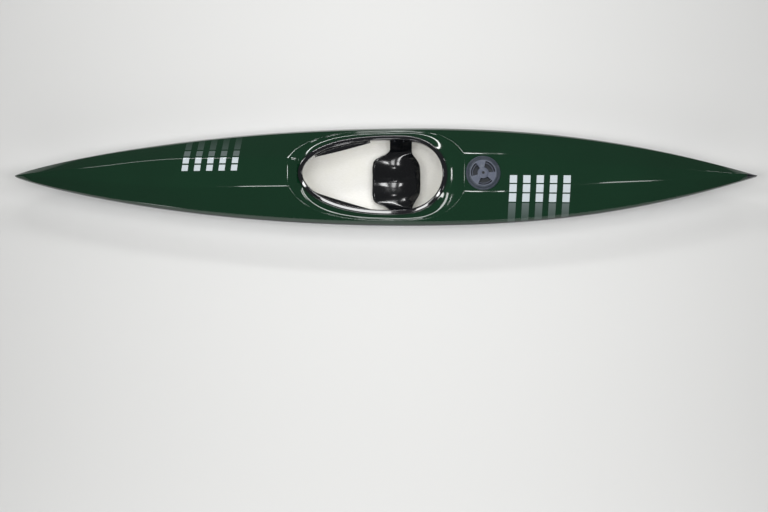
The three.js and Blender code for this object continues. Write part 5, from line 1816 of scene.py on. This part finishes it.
foot_bolt_places = []
for side, side_name in sides:
    def rail_axes(a, b, depth):
        return a, side * depth, b

    place, reach = foot_brace(side)
    bm = bmesh.new()
    prism(bm, rail_outline, -rail_standoff - rail_thickness, -rail_standoff, rail_axes)
    for x in (-reach, reach):
        boss = arc(x, 0, rail_boss_radius, 0, 360 - 360 / boss_count, boss_count)
        prism(bm, boss, -rail_standoff - boss_sink, -boss_gap, rail_axes)
        head = Vector((x, side * (skin + 2 * gap), 0))
        foot_bolt_places.append((place @ head, place.to_3x3() @ Vector((0, side, 0))))
    dress(finish_moulding(f"rail_{side_name}", bm, place, rail_edge_break), [fitting_black], "boat",
          [f"footrest_rail_{side_name}"])
set_fixings("footrest_bolts", foot_bolt, foot_bolt_places, steel, "footrest_bolt")

# %% Pedals
clip_length, clip_wall, clip_hook, clip_hook_thickness = 0.046, 0.005, 0.004, 0.004
pedal_reach, pedal_height, pedal_thickness = 0.084, 0.092, 0.012
pedal_corner, pedal_corner_count, pedal_lift = 0.014, 6, -0.004
pedal_rib_count, pedal_rib_height, pedal_rib_width = 4, 0.003, 0.005

# Pairs are (distance in from the hull's wall, height), pushed along the rail
top = rail_height / 2 + gap
clip_top, hook_end = top + clip_wall, top - clip_hook
back, clip_face = rail_standoff - gap, rail_standoff + rail_thickness + gap
hook, clip_out = back - clip_hook_thickness, clip_face + clip_wall
clip_outline = [
    (clip_out, -clip_top), (clip_out, clip_top), (hook, clip_top), (hook, hook_end), (back, hook_end),
    (back, top), (clip_face, top), (clip_face, -top), (back, -top), (back, -hook_end),
    (hook, -hook_end), (hook, -clip_top),
]
plate_start = clip_out - gap
far_middle = plate_start + pedal_reach - pedal_corner
plate_low, plate_high = pedal_lift - pedal_height / 2, pedal_lift + pedal_height / 2
plate_outline = [(plate_start, plate_low)]
plate_outline += arc(far_middle, plate_low + pedal_corner, pedal_corner, -90, 0, pedal_corner_count)
plate_outline += arc(far_middle, plate_high - pedal_corner, pedal_corner, 0, 90, pedal_corner_count)
plate_outline += [(plate_start, plate_high)]
pedal_prisms = [(clip_outline, -clip_length / 2, clip_length / 2),
                (plate_outline, -pedal_thickness / 2, pedal_thickness / 2)]
for i in range(pedal_rib_count):
    z = plate_low + pedal_height * (i + 1) / (pedal_rib_count + 1)
    low, high = z - pedal_rib_width / 2, z + pedal_rib_width / 2
    start = plate_start + pedal_rib_width
    rib = [(start, low), (far_middle, low), (far_middle, high), (start, high)]
    pedal_prisms.append((rib, pedal_thickness / 2 - gap, pedal_thickness / 2 + pedal_rib_height))

for side, side_name in sides:
    bm = bmesh.new()
    for outline, near, far in pedal_prisms:
        prism(bm, outline, near, far, lambda a, b, depth: (depth, -side * a, b))
    pedal = finish_moulding(f"pedal_moulding_{side_name}", bm, foot_brace(side)[0], pedal_edge_break)
    dress(pedal, [fitting_black], f"pedal_{side_name}",
          [f"footrest_pedal_{side_name}"])

# %% [markdown]
# Inside the ends.
# Behind the seat a laminate bulkhead closes the stern compartment, and the bow holds a block of foam.
# Their construction solids already have the right shape, so they stay and only get a new finish.

# %% Bulkhead and foam
for node_name, material in (("rear_bulkhead", bulkhead_laminate), ("bow_foam_block", foam_cream)):
    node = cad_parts[node_name]
    node.data.materials.clear()
    node.data.materials.append(material)
    print(node_name, "keeps its solid and gets", material.name)
